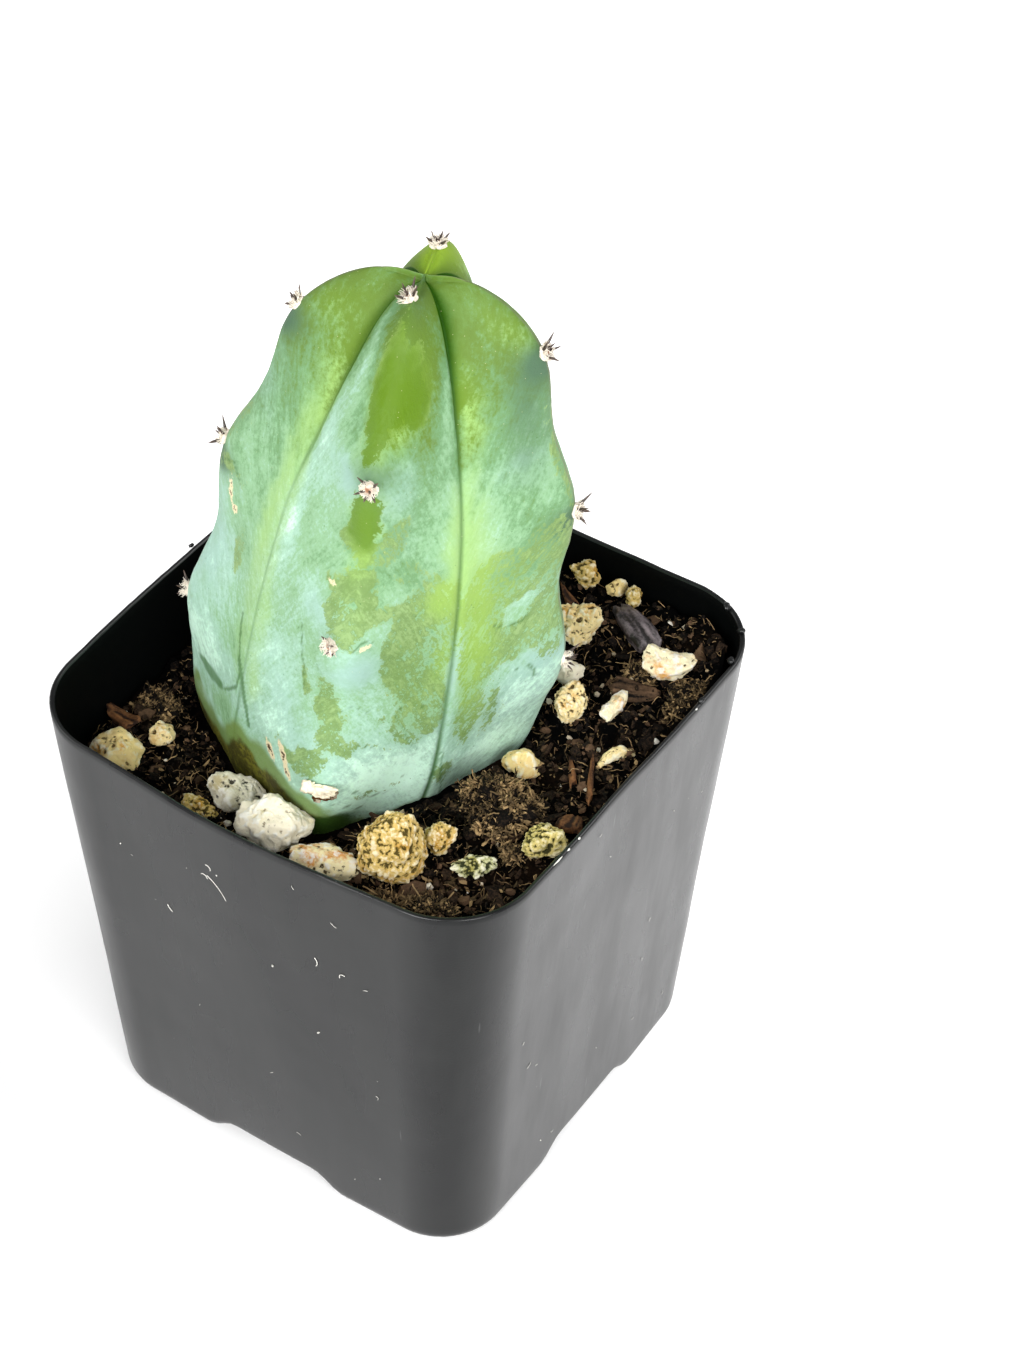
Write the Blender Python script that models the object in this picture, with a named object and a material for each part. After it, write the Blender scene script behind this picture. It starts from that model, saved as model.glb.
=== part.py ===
"""Blue myrtle cactus (Myrtillocactus geometrizans) in a square nursery pot.

Sizes below are millimetres and are turned to metres where a mesh is made.
The frame stands on the table: +Z is up, Z = 0 is under the pot's feet, and the
origin is under the middle of the pot's outer box. +X and -Y are the pot's two
sides nearest the front rib of the plant.
"""

import math
from typing import NamedTuple

import bmesh
import bpy
from mathutils import Matrix, Vector, noise

MM = 0.001

# Clearance between neighbouring solids.
GAP = 0.35

# Pot: a tapered square shell with rounded corners. The soft walls bow outward by
# these amounts in the middle of each side at the rim.
POT_HEIGHT = 63.4
RIM_HALF = 31.75
BASE_HALF = 27.4
RIM_CORNER = 10.85
BASE_CORNER = 8.6
RIM_BOW = {"+X": 0.2, "+Y": 0.0, "-X": 0.75, "-Y": 1.15}
BASE_BOW = 0.3
WALL = 0.7
FLOOR = 0.8
BASE_ROUNDING = 2.2
POT_X = (RIM_BOW["-X"] - RIM_BOW["+X"]) / 2
POT_Y = (RIM_BOW["-Y"] - RIM_BOW["+Y"]) / 2

# Cross-shaped channel under the floor, which leaves a foot at each corner.
CHANNEL_HEIGHT = 2.6
CHANNEL_TOP_HALF = 6.3
CHANNEL_FOOT_HALF = 9.8
DRAIN_HOLE_RADIUS = 2.0
DRAIN_HOLE_SPACING = 14.0

# How far a cutting solid runs on past the faces that it cuts.
OVERCUT = 2.0

# Potting soil: its surface climbs towards +X and a little towards +Y, and it is
# banked up against the two Y walls.
SOIL_LEVEL = 56.2
SOIL_SLOPE_X = 0.115
SOIL_SLOPE_Y = 0.03
SOIL_BANK = 0.9
SOIL_BANK_REACH = 30.0
SOIL_LUMP_HEIGHT = 0.28
SOIL_LUMP_LENGTH = 3.6

# Stem: four ribs round an axis that leans to one side.
RIB_COUNT = 4
FRONT_RIB_AZIMUTH = -71.1
RIB_SHIFT = (3.0, 0.0, 0.0, 0.0)
WIDEST_HEIGHT = 62.0
CREST_TOP = 120.2
CREST_RADIUS = 21.5
CREST_POWER = 0.38
GROOVE_RADIUS = 15.8
GROOVE_TOP = 119.5
GROOVE_POWER = 0.56
FACE_BULGE = 0.05
AREOLE_SWELL = 0.8
SWELL_FADE = 8.0
STEM_FOOT = 42.0
STEM_FOOT_RADIUS = 11.0
STEM_FOOT_SPREAD = 5.5
STEM_FOOT_RINGS = 4
FOOT_CURVE = 0.04
STEM_ROOT_XY = (-4.4, -2.1)
STEM_TIP_XY = (3.2, 0.9)
LEAN_START = 54.0
LEAN_BOW = (0.42, 0.27)
GROWTH_POINT_DIP = 1.6
GROWTH_POINT_WIDTH = 3.0

# Areole heights on the two pairs of opposite ribs, bottom to top.
FRONT_BACK_AREOLES = (65.0, 85.4, 105.2, 119.6)
SIDE_AREOLES = (70.2, 92.2, 112.9)
RIB_NAMES = ("front", "right", "back", "left")

CUSHION_RADIUS = 1.3
CUSHION_THICKNESS = 0.5
SPINE_RADIUS = 0.26
SPINE_TIP_RADIUS = 0.06
SPINE_LENGTH = 2.6
# Each spine's lean out of its cushion: sideways and up, for 1 straight out.
SPINE_FAN = ((-0.75, 0.8), (0.75, 0.8), (-0.8, -0.7), (0.85, -0.6))

# Colours (linear RGB) and roughness of the plain finishes.
BLACK_PLASTIC = ((0.012, 0.012, 0.013), 0.45)
PEAT = ((0.035, 0.018, 0.010), 0.95)
CACTUS_SKIN = ((0.23, 0.42, 0.21), 0.55)
FELT = ((0.80, 0.74, 0.62), 0.95)
WHITE_PUMICE = ((0.72, 0.70, 0.62), 0.9)
CREAM_PUMICE = ((0.70, 0.55, 0.33), 0.9)
GOLDEN_PUMICE = ((0.52, 0.36, 0.13), 0.9)
BARK = ((0.060, 0.028, 0.020), 0.85)
WOOD = ((0.16, 0.075, 0.035), 0.85)


class Lump(NamedTuple):
    """A rounded lump on the soil; turn is in degrees and bend arches its ends down."""

    name: str
    place: tuple
    size: tuple
    turn: float
    finish: tuple
    large: bool = False
    bend: float = 0.0


class Flake(NamedTuple):
    """A flat piece on the soil; turn and tilt are in degrees."""

    name: str
    place: tuple
    size: tuple
    turn: float
    tilt: float
    finish: tuple


# A lump's roughness and the spacing of its bumps, for a lump of radius 1; and how
# far a piece's middle stands over the soil, as a share of its height.
LUMP_ROUGHNESS = 0.16
COARSE_LUMPS = 1.3
FINE_LUMPS = 3.1
LUMP_STAND = 0.36
FLAKE_STAND = 0.25
FLAKE_TAPER = 0.8
FLAKE_SKEW = 0.12
FLAKE_EDGE = 0.22

# The pumice, from the front of the pot round to the back, and a lump of peat.
LUMPS = (
    Lump("pumice_gold_front", (14.7, -21.9), (7.0, 6.2, 8.8), 20, GOLDEN_PUMICE, True),
    Lump("pumice_gold_lobe", (17.6, -17.0), (3.8, 3.0, 5.4), 60, GOLDEN_PUMICE),
    Lump("pumice_white_front", (0.3, -24.7), (7.4, 5.8, 6.2), 25, WHITE_PUMICE, True),
    Lump("pumice_grey_front", (-7.2, -21.3), (6.0, 3.8, 4.0), 40, WHITE_PUMICE, True),
    Lump("pumice_orange_front", (8.0, -26.2), (6.8, 4.2, 4.2), 32, CREAM_PUMICE, True),
    Lump("pumice_cream_left", (-23.4, -22.6), (5.6, 4.6, 4.2), 10, CREAM_PUMICE, True),
    Lump("pumice_round_left", (-20.9, -17.4), (3.0, 2.6, 2.2), 0, CREAM_PUMICE),
    Lump("pumice_tan_left", (-9.7, -24.9), (2.8, 1.8, 1.8), 40, CREAM_PUMICE),
    Lump("pumice_cream_right", (12.4, 19.8), (6.4, 5.2, 5.8), 70, CREAM_PUMICE, True),
    Lump("pumice_white_right", (14.5, 14.3), (3.6, 3.0, 2.8), 30, WHITE_PUMICE),
    Lump("pumice_speckled_right", (18.2, 9.1), (5.2, 3.8, 4.2), 110, CREAM_PUMICE),
    Lump("pumice_long_right", (22.5, 11.3), (5.2, 2.0, 2.0), 62, WHITE_PUMICE),
    Lump("pumice_saddle_right", (24.6, 20.2), (7.0, 3.6, 3.4), 22, WHITE_PUMICE, True, 0.9),
    Lump("pumice_gold_back", (7.4, 29.0), (3.8, 3.0, 3.2), 0, GOLDEN_PUMICE),
    Lump("pumice_orange_back", (11.5, 29.2), (2.8, 1.9, 2.0), 75, CREAM_PUMICE),
    Lump("pumice_crumb_back", (14.3, 29.1), (3.0, 1.9, 1.9), 110, CREAM_PUMICE),
    Lump("pumice_gold_foot", (18.2, -1.0), (3.8, 3.0, 3.2), 20, GOLDEN_PUMICE),
    Lump("pumice_arched_right", (27.1, 5.0), (4.2, 1.7, 1.8), 40, CREAM_PUMICE, False, 0.7),
    Lump("pumice_moss_right", (28.1, -11.5), (5.0, 3.4, 3.4), 40, GOLDEN_PUMICE),
    Lump("pumice_green_front", (23.0, -18.0), (5.2, 2.4, 2.2), 38, WHITE_PUMICE),
    Lump("peat_lump", (20.8, -9.4), (8.2, 6.6, 5.0), 30, PEAT, True),
)

# Bark, wood and a curl of peat lying on the soil.
FLAKES = (
    Flake("bark_purple_back", (16.6, 25.0), (5.2, 2.8, 1.4), 105, 12, BARK),
    Flake("bark_dark_right", (22.8, 15.6), (3.6, 2.2, 1.0), 20, 6, BARK),
    Flake("bark_red_right", (28.6, -6.8), (3.0, 2.2, 1.2), 60, 14, BARK),
    Flake("wood_sliver_back", (8.0, 24.8), (4.6, 1.3, 0.9), 112, 4, WOOD),
    Flake("wood_sliver_right_1", (23.6, 0.7), (4.4, 1.0, 0.8), 118, 6, WOOD),
    Flake("wood_sliver_right_2", (26.4, 0.3), (7.0, 1.0, 0.9), 126, 6, WOOD),
    Flake("peat_curl_left", (-27.6, -16.8), (4.2, 2.0, 1.4), 150, 8, WOOD),
)


# ---------------------------------------------------------------- scene set-up


def clear_scene():
    """Remove every object that the file starts with."""
    for item in list(bpy.data.objects):
        bpy.data.objects.remove(item, do_unlink=True)


def make_collection(name):
    """Add a collection to the scene."""
    group = bpy.data.collections.new(name)
    bpy.context.scene.collection.children.link(group)
    return group


def make_material(name, finish, metallic=0.0):
    """A Principled material of one colour and roughness."""
    colour, roughness = finish
    material = bpy.data.materials.new(name)
    material.use_nodes = True
    shader = material.node_tree.nodes["Principled BSDF"]
    shader.inputs["Base Color"].default_value = (*colour, 1.0)
    shader.inputs["Roughness"].default_value = roughness
    shader.inputs["Metallic"].default_value = metallic
    return material


def add_object(name, shape, collection, material=None, smooth=True):
    """Turn a bmesh in millimetres into an object in metres."""
    bmesh.ops.scale(shape, vec=(MM, MM, MM), verts=shape.verts)
    bmesh.ops.recalc_face_normals(shape, faces=shape.faces)
    mesh = bpy.data.meshes.new(name)
    shape.to_mesh(mesh)
    shape.free()
    item = bpy.data.objects.new(name, mesh)
    collection.objects.link(item)
    if material is not None:
        mesh.materials.append(material)
    if smooth:
        mesh.shade_smooth()
        mesh.set_sharp_from_angle(angle=math.radians(40))
    return item


def add_part(name, shape, finish, smooth=True):
    """A visible piece with a material of its own."""
    return add_object(name, shape, PARTS, make_material(name, finish), smooth)


def add_cutter(name, shape):
    """A solid that only shapes other pieces."""
    item = add_object(name, shape, CUTTERS, smooth=False)
    item.hide_render = True
    item.display_type = "WIRE"
    return item


def boolean(item, other, operation):
    """Join another solid to an object, or take it away, with the exact solver."""
    modifier = item.modifiers.new(other.name, "BOOLEAN")
    modifier.operation = operation
    modifier.solver = "EXACT"
    modifier.object = other


def loft(rings):
    """Close a solid between rings of equally many points, with flat ends."""
    shape = bmesh.new()
    loops = [[shape.verts.new(point) for point in ring] for ring in rings]
    count = len(loops[0])
    for low, high in zip(loops, loops[1:]):
        for i in range(count):
            j = (i + 1) % count
            shape.faces.new((low[i], low[j], high[j], high[i]))
    shape.faces.new(list(reversed(loops[0])))
    shape.faces.new(loops[-1])
    return shape


def cap_with_point(shape, ring_size, point):
    """Replace the flat top of a loft by a fan that meets in one point."""
    shape.faces.ensure_lookup_table()
    shape.verts.ensure_lookup_table()
    ring = list(shape.verts[-ring_size:])
    bmesh.ops.delete(shape, geom=[shape.faces[-1]], context="FACES_ONLY")
    tip = shape.verts.new(point)
    for i in range(ring_size):
        shape.faces.new((ring[i], ring[(i + 1) % ring_size], tip))


# ------------------------------------------------------------------------ pot


def pot_outline(height, inset, corner_steps=5, side_steps=6):
    """Points round the pot's outer wall at a height, moved inward by inset."""
    share = height / POT_HEIGHT
    half = BASE_HALF + (RIM_HALF - BASE_HALF) * share - inset
    corner = BASE_CORNER + (RIM_CORNER - BASE_CORNER) * share - inset
    points = []
    for quarter, side in enumerate(("+X", "+Y", "-X", "-Y")):
        turn = Matrix.Rotation(quarter * math.pi / 2, 2)
        bow = BASE_BOW + (RIM_BOW[side] - BASE_BOW) * share
        straight = half - corner
        for i in range(side_steps):
            along = -1 + 2 * i / side_steps
            points.append(turn @ Vector((half + bow * (1 - along * along), along * straight)))
        for i in range(corner_steps):
            angle = math.pi / 2 * i / corner_steps
            spot = (straight + corner * math.cos(angle), straight + corner * math.sin(angle))
            points.append(turn @ Vector(spot))
    return [Vector((p.x + POT_X, p.y + POT_Y, height)) for p in points]


def cup_rings(inset, bottom, top):
    """Rings of the pot's rounded foot and tapered wall, for one inset."""
    rounding = BASE_ROUNDING
    rings = []
    for angle in (0.0, 30.0, 60.0, 90.0):
        turned = math.radians(angle)
        lift = rounding * (1 - math.cos(turned))
        narrow = rounding * (1 - math.sin(turned))
        rings.append(pot_outline(bottom + lift, inset + narrow))
    rings.append(pot_outline(top, inset))
    return rings


def channel(name, top, grow, along_x):
    """One arm of the cross under the floor: a long bar with sloping sides."""
    reach = RIM_HALF + OVERCUT
    slope = (CHANNEL_FOOT_HALF - CHANNEL_TOP_HALF) / CHANNEL_HEIGHT
    top_half = CHANNEL_TOP_HALF + grow
    foot_half = top_half + slope * (top + OVERCUT)
    shape = bmesh.new()
    bmesh.ops.create_cube(shape, size=2.0)
    for vert in shape.verts:
        upper = vert.co.z > 0
        vert.co.x *= reach
        vert.co.y *= top_half if upper else foot_half
        vert.co.z = top if upper else -OVERCUT
    if not along_x:
        bmesh.ops.rotate(shape, matrix=Matrix.Rotation(math.pi / 2, 3, "Z"), verts=shape.verts)
    bmesh.ops.translate(shape, vec=(POT_X, POT_Y, 0), verts=shape.verts)
    return add_cutter(name, shape)


def cut_channels(item, name, top, grow):
    """Take the cross-shaped channel out of a solid."""
    for along_x in (True, False):
        axis = "x" if along_x else "y"
        boolean(item, channel(f"{name}_{axis}", top, grow, along_x), "DIFFERENCE")


def build_pot():
    """The thin shell: outer form, less its inner form, channels and drain holes."""
    pot = add_part("nursery_pot", loft(cup_rings(0.0, 0.0, POT_HEIGHT)), BLACK_PLASTIC)
    cut_channels(pot, "outer_channel", CHANNEL_HEIGHT, 0.0)
    hollow = add_cutter("pot_hollow", loft(cup_rings(WALL, FLOOR, POT_HEIGHT + OVERCUT)))
    cut_channels(hollow, "inner_channel", CHANNEL_HEIGHT + FLOOR, WALL)
    boolean(pot, hollow, "DIFFERENCE")
    step = DRAIN_HOLE_SPACING
    holes = ((0, 0), (step, 0), (-step, 0), (0, step), (0, -step))
    for number, (x, y) in enumerate(holes):
        shape = bmesh.new()
        bmesh.ops.create_cone(
            shape,
            cap_ends=True,
            segments=16,
            radius1=DRAIN_HOLE_RADIUS,
            radius2=DRAIN_HOLE_RADIUS,
            depth=4 * OVERCUT,
        )
        bmesh.ops.translate(shape, vec=(POT_X + x, POT_Y + y, 0), verts=shape.verts)
        boolean(pot, add_cutter(f"drain_hole_{number}", shape), "DIFFERENCE")
    return pot


# ------------------------------------------------------------------------ stem


def lean(height):
    """Centre of the stem at a height."""
    share = (height - LEAN_START) / (CREST_TOP - LEAN_START)
    bow = 4 * share * (1 - share) if share > 0 else 0.0
    x = STEM_ROOT_XY[0] + (STEM_TIP_XY[0] - STEM_ROOT_XY[0]) * share + LEAN_BOW[0] * bow
    y = STEM_ROOT_XY[1] + (STEM_TIP_XY[1] - STEM_ROOT_XY[1]) * share + LEAN_BOW[1] * bow
    return Vector((x, y, height))


def dome(height, radius, top, power):
    """Radius of a rounded outline that closes at its top."""
    if height <= WIDEST_HEIGHT:
        return radius - FOOT_CURVE * (WIDEST_HEIGHT - height) ** 2 * radius / CREST_RADIUS
    share = (height - WIDEST_HEIGHT) / (top - WIDEST_HEIGHT)
    return radius * max(1 - share * share, 0.0) ** power


def swell(height, areoles):
    """1 at an areole and -1 halfway to the next one, fading out below and above."""
    for low, high in zip(areoles, areoles[1:]):
        if low <= height <= high:
            return math.cos(2 * math.pi * (height - low) / (high - low))
    nearest = areoles[0] if height < areoles[0] else areoles[-1]
    away = (height - nearest) / (areoles[1] - areoles[0])
    return math.cos(2 * math.pi * away) if abs(away) < 0.5 else -1.0


def areoles_of(rib):
    """Areole heights of a rib; opposite ribs carry theirs at the same heights."""
    return FRONT_BACK_AREOLES if rib % 2 == 0 else SIDE_AREOLES


def crest_radius(height, rib):
    """Distance of a rib's crest from the stem's axis."""
    plain = dome(height, CREST_RADIUS, CREST_TOP, CREST_POWER)
    fade = min(plain / SWELL_FADE, 1.0)
    return max(plain + AREOLE_SWELL * swell(height, areoles_of(rib)) * fade, 0.0)


def rib_direction(angle):
    """Horizontal unit vector at an angle from the front rib; a shifted crest turns with it."""
    pitch = 2 * math.pi / RIB_COUNT
    rib = round(angle / pitch)
    share = 1 - 2 * abs(angle - rib * pitch) / pitch
    shift = RIB_SHIFT[rib % RIB_COUNT] * share
    turned = math.radians(FRONT_RIB_AZIMUTH + shift) + angle
    return Vector((math.cos(turned), math.sin(turned), 0))


def stem_radius(height, angle):
    """Distance of the skin from the axis: crests joined to grooves by full faces."""
    pitch = 2 * math.pi / RIB_COUNT
    rib = round(angle / pitch)
    off = abs(angle - rib * pitch)
    crest = crest_radius(height, rib % RIB_COUNT)
    groove = min(dome(height, GROOVE_RADIUS, GROOVE_TOP, GROOVE_POWER), crest)
    if crest <= 0.0:
        return 0.0
    half = pitch / 2
    slope = (crest / max(groove, 0.05) - math.cos(half)) / math.sin(half)
    face = crest / (math.cos(off) + slope * math.sin(off))
    return face + FACE_BULGE * crest * math.sin(2 * math.pi * off / pitch)


def stem_point(height, angle, grow=0.0):
    """A point of the skin; the growth point is sunk between the crests."""
    radius = stem_radius(height, angle)
    dip = GROWTH_POINT_DIP * math.exp(-((radius / GROWTH_POINT_WIDTH) ** 2))
    return lean(height) + rib_direction(angle) * (radius + grow) - Vector((0, 0, dip))


def stem_rings(grow=0.0, per_rib=10, rounds=22):
    """Rings from the buried foot to just under the growth point."""
    angles = [2 * math.pi * i / (per_rib * RIB_COUNT) for i in range(per_rib * RIB_COUNT)]
    rings = []
    for i in range(STEM_FOOT_RINGS):
        share = i / STEM_FOOT_RINGS
        height = STEM_FOOT - grow + (LEAN_START - STEM_FOOT) * 2 / 3 * share
        radius = STEM_FOOT_RADIUS + grow + STEM_FOOT_SPREAD * math.sqrt(share)
        rings.append([lean(height) + rib_direction(angle) * radius for angle in angles])
    for share in (-0.1, 0.25, 0.6, 1.0):
        height = LEAN_START + (WIDEST_HEIGHT - LEAN_START) * share
        rings.append([stem_point(height, angle, grow) for angle in angles])
    for i in range(1, rounds):
        share = math.sin(math.pi / 2 * i / rounds)
        height = WIDEST_HEIGHT + (CREST_TOP - WIDEST_HEIGHT) * share
        rings.append([stem_point(height, angle, grow) for angle in angles])
    return rings


def build_stem():
    """One solid, ribbed above the soil and tapering to its buried foot."""
    rings = stem_rings()
    shape = loft(rings)
    cap_with_point(shape, len(rings[0]), lean(CREST_TOP) - Vector((0, 0, GROWTH_POINT_DIP)))
    return add_part("cactus_stem", shape, CACTUS_SKIN)


def stem_pocket():
    """The room that the buried foot takes in the soil, run on up past the surface."""
    pocket_top = SOIL_LEVEL + 10 * OVERCUT
    rings = [ring for ring in stem_rings(grow=GAP + 0.1) if ring[0].z < pocket_top]
    return add_cutter("stem_pocket", loft(rings))


# --------------------------------------------------------------------- areoles


def crest_frame(height, rib):
    """Place, outward normal and upward tangent on a rib's crest."""
    angle = 2 * math.pi * rib / RIB_COUNT
    step = 0.4
    place = stem_point(height, angle)
    upward = (stem_point(height + step, angle) - stem_point(height - step, angle)).normalized()
    across = Vector((0, 0, 1)).cross(rib_direction(angle))
    outward = across.cross(upward)
    if outward.dot(rib_direction(angle)) < 0:
        outward = -outward
    return place, outward.normalized(), upward


def build_areole(rib, number, height):
    """A felt cushion on a crest and the short spines that stand in it."""
    name = f"areole_{RIB_NAMES[rib]}_{number}"
    place, outward, upward = crest_frame(height, rib)
    across = upward.cross(outward)
    centre = place + outward * (GAP + CUSHION_THICKNESS)
    cushion = bmesh.new()
    bmesh.ops.create_uvsphere(cushion, u_segments=8, v_segments=5, radius=1.0)
    axes = Matrix((across * CUSHION_RADIUS, upward * CUSHION_RADIUS, outward * CUSHION_THICKNESS))
    bmesh.ops.transform(cushion, matrix=axes.transposed().to_4x4(), verts=cushion.verts)
    bmesh.ops.translate(cushion, vec=centre, verts=cushion.verts)
    areole = add_part(name, cushion, FELT)
    for index, (sideways, up) in enumerate(SPINE_FAN):
        direction = (outward + across * sideways + upward * up).normalized()
        spine = bmesh.new()
        bmesh.ops.create_cone(
            spine,
            cap_ends=True,
            segments=5,
            radius1=SPINE_RADIUS,
            radius2=SPINE_TIP_RADIUS,
            depth=SPINE_LENGTH,
        )
        bmesh.ops.translate(spine, vec=(0, 0, SPINE_LENGTH / 2), verts=spine.verts)
        turn = direction.to_track_quat("Z", "Y").to_matrix()
        bmesh.ops.rotate(spine, matrix=turn, verts=spine.verts)
        bmesh.ops.translate(spine, vec=centre, verts=spine.verts)
        boolean(areole, add_cutter(f"{name}_spine_{index}", spine), "UNION")


def build_areoles():
    """Every areole of the four ribs, numbered from the soil upward."""
    for rib in range(RIB_COUNT):
        for number, height in enumerate(areoles_of(rib), start=1):
            build_areole(rib, number, height)


# ------------------------------------------------- soil, stones, bark and wood


def soil_height(x, y):
    """Height of the soil's surface: a gentle slope with two sets of crossing waves."""
    plane = SOIL_LEVEL + SOIL_SLOPE_X * x + SOIL_SLOPE_Y * y
    bank = SOIL_BANK * (y / SOIL_BANK_REACH) ** 2
    across = x / SOIL_LUMP_LENGTH
    along = y / SOIL_LUMP_LENGTH
    waves = math.sin(across + math.sin(0.7 * along)) + math.sin(1.2 * along + math.sin(0.6 * across))
    return plane + bank + SOIL_LUMP_HEIGHT * waves


def soil_ring(share):
    """Points of the soil's surface, a share of the way from its middle to the wall."""
    inset = WALL + GAP
    middle = Vector((POT_X, POT_Y, 0))
    ring = []
    for index, point in enumerate(pot_outline(SOIL_LEVEL, inset)):
        at_wall = pot_outline(soil_height(point.x, point.y), inset)[index]
        spot = middle + (at_wall - middle) * share
        ring.append(Vector((spot.x, spot.y, soil_height(spot.x, spot.y))))
    return ring


def build_soil():
    """The fill: the pot's inside up to the uneven surface, less the stem's pocket."""
    rings = cup_rings(WALL + GAP, FLOOR + GAP, POT_HEIGHT)[:-1]
    rings += [soil_ring(share) for share in (1.0, 0.93, 0.82, 0.7, 0.5, 0.3)]
    soil = add_part("potting_soil", loft(rings), PEAT, smooth=False)
    cut_channels(soil, "soil_channel", CHANNEL_HEIGHT + FLOOR + GAP, WALL + GAP)
    boolean(soil, stem_pocket(), "DIFFERENCE")
    return soil


def roughen(shape, seed, depth):
    """Push a round form's points in and out by smooth noise, all from its middle."""
    for vert in shape.verts:
        direction = vert.co.normalized()
        coarse = noise.noise(direction * COARSE_LUMPS + Vector((seed, 2 * seed, 0)))
        fine = noise.noise(direction * FINE_LUMPS + Vector((0, seed, 4 * seed)))
        vert.co = direction * (1 + depth * (1.4 * coarse + 0.5 * fine))


def seat(piece, name, soil):
    """Press a piece's own shape, a little larger, into the soil."""
    print_shape = bmesh.new()
    print_shape.from_mesh(piece.data)
    bmesh.ops.recalc_face_normals(print_shape, faces=print_shape.faces)
    print_shape.normal_update()
    moves = [vert.normal * vert.calc_shell_factor() * GAP * MM for vert in print_shape.verts]
    for vert, move in zip(print_shape.verts, moves):
        vert.co += move
    bmesh.ops.scale(print_shape, vec=(1 / MM, 1 / MM, 1 / MM), verts=print_shape.verts)
    boolean(soil, add_cutter(f"{name}_seat", print_shape), "DIFFERENCE")


def place_on_soil(shape, piece, tilt, level):
    """Tilt and turn a shape, and set its middle at a height over the soil."""
    spin = Matrix.Rotation(math.radians(piece.turn), 3, "Z")
    spin = spin @ Matrix.Rotation(math.radians(tilt), 3, "Y")
    bmesh.ops.rotate(shape, matrix=spin, verts=shape.verts)
    x, y = piece.place
    bmesh.ops.translate(shape, vec=(x, y, soil_height(x, y) + level), verts=shape.verts)


def build_lump(soil, lump, seed):
    """A rounded, pitted lump sunk a little way into the soil."""
    shape = bmesh.new()
    bmesh.ops.create_icosphere(shape, subdivisions=3 if lump.large else 2, radius=1.0)
    roughen(shape, seed, LUMP_ROUGHNESS)
    length, width, height = lump.size
    bmesh.ops.scale(shape, vec=(length / 2, width / 2, height / 2), verts=shape.verts)
    for vert in shape.verts:
        vert.co.z -= lump.bend * (2 * vert.co.x / length) ** 2
    place_on_soil(shape, lump, 0.0, height * LUMP_STAND)
    seat(add_part(lump.name, shape, lump.finish), lump.name, soil)


def build_flake(soil, flake):
    """A broken flake of bark or wood: a tapered, skewed bar with eased edges."""
    shape = bmesh.new()
    bmesh.ops.create_cube(shape, size=1.0)
    length, width, height = flake.size
    for vert in shape.verts:
        taper = FLAKE_TAPER if vert.co.x > 0 else 1.0
        skew = FLAKE_SKEW if vert.co.z > 0 else -FLAKE_SKEW
        vert.co.x *= length
        vert.co.y = (vert.co.y * taper + skew) * width
        vert.co.z *= taper * height
    bmesh.ops.bevel(
        shape,
        geom=list(shape.edges),
        offset=FLAKE_EDGE * min(width, height),
        segments=1,
        affect="EDGES",
    )
    place_on_soil(shape, flake, flake.tilt, height * FLAKE_STAND)
    seat(add_part(flake.name, shape, flake.finish, smooth=False), flake.name, soil)


clear_scene()
PARTS = make_collection("blue_myrtle_cactus")
CUTTERS = make_collection("cutters")
build_pot()
build_stem()
build_areoles()
SOIL = build_soil()
for NUMBER, LUMP in enumerate(LUMPS):
    build_lump(SOIL, LUMP, 1.7 + 1.3 * NUMBER)
for FLAKE in FLAKES:
    build_flake(SOIL, FLAKE)
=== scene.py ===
"""Blue myrtle cactus in a square nursery pot: its finished surfaces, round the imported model.

Sizes in the classes are millimetres, and meshes are made in metres. +Z is up and
Z = 0 is under the pot's feet. Angles round the stem are counted in ribs: 0 is the
front rib, 1 the right one, 2 the back one and -1 the left one.
"""

import logging
import math
from dataclasses import dataclass, field, replace
from enum import Enum

import bpy
import numpy as np
from mathutils import Matrix, Vector


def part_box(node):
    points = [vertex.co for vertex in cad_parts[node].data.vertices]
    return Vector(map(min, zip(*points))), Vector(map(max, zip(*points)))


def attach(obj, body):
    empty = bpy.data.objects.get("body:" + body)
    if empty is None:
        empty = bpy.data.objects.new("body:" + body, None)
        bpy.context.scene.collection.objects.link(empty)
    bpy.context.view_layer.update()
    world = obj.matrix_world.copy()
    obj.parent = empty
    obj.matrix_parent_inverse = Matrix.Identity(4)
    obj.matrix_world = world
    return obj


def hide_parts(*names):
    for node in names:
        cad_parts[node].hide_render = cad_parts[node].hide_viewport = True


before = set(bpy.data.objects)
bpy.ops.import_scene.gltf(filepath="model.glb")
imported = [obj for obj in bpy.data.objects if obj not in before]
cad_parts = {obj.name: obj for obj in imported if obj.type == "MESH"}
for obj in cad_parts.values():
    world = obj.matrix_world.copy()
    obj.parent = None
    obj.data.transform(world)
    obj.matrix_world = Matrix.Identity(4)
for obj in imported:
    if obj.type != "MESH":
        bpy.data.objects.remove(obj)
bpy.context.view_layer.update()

logging.basicConfig(level=logging.INFO, format="%(message)s")
LOG = logging.getLogger("cactus")

Array = np.ndarray
Draw = np.random.Generator
Socket = bpy.types.NodeSocket
MM = 0.001
TAU = 2 * math.pi
# Added to lengths that may be 0 before something is divided by them.
TINY = 1e-12


# ----------------------------------------------------------------- random fields

# Multipliers that mix a whole number's bits: one for each axis, one for the seed, one for later.
MIX_X, MIX_Y, MIX_Z, MIX_SEED, MIX_LATER = 374761393, 668265263, 1274126177, 974634777, 1103515245
WORD = 0xFFFFFFFF
FRACTION = 0xFFFFFF
# Cells between one octave's lattice and the next, and the factor that brings a field near 1.
OCTAVE_SHIFT = 17.3
GRAIN_REACH = 1.6


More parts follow.
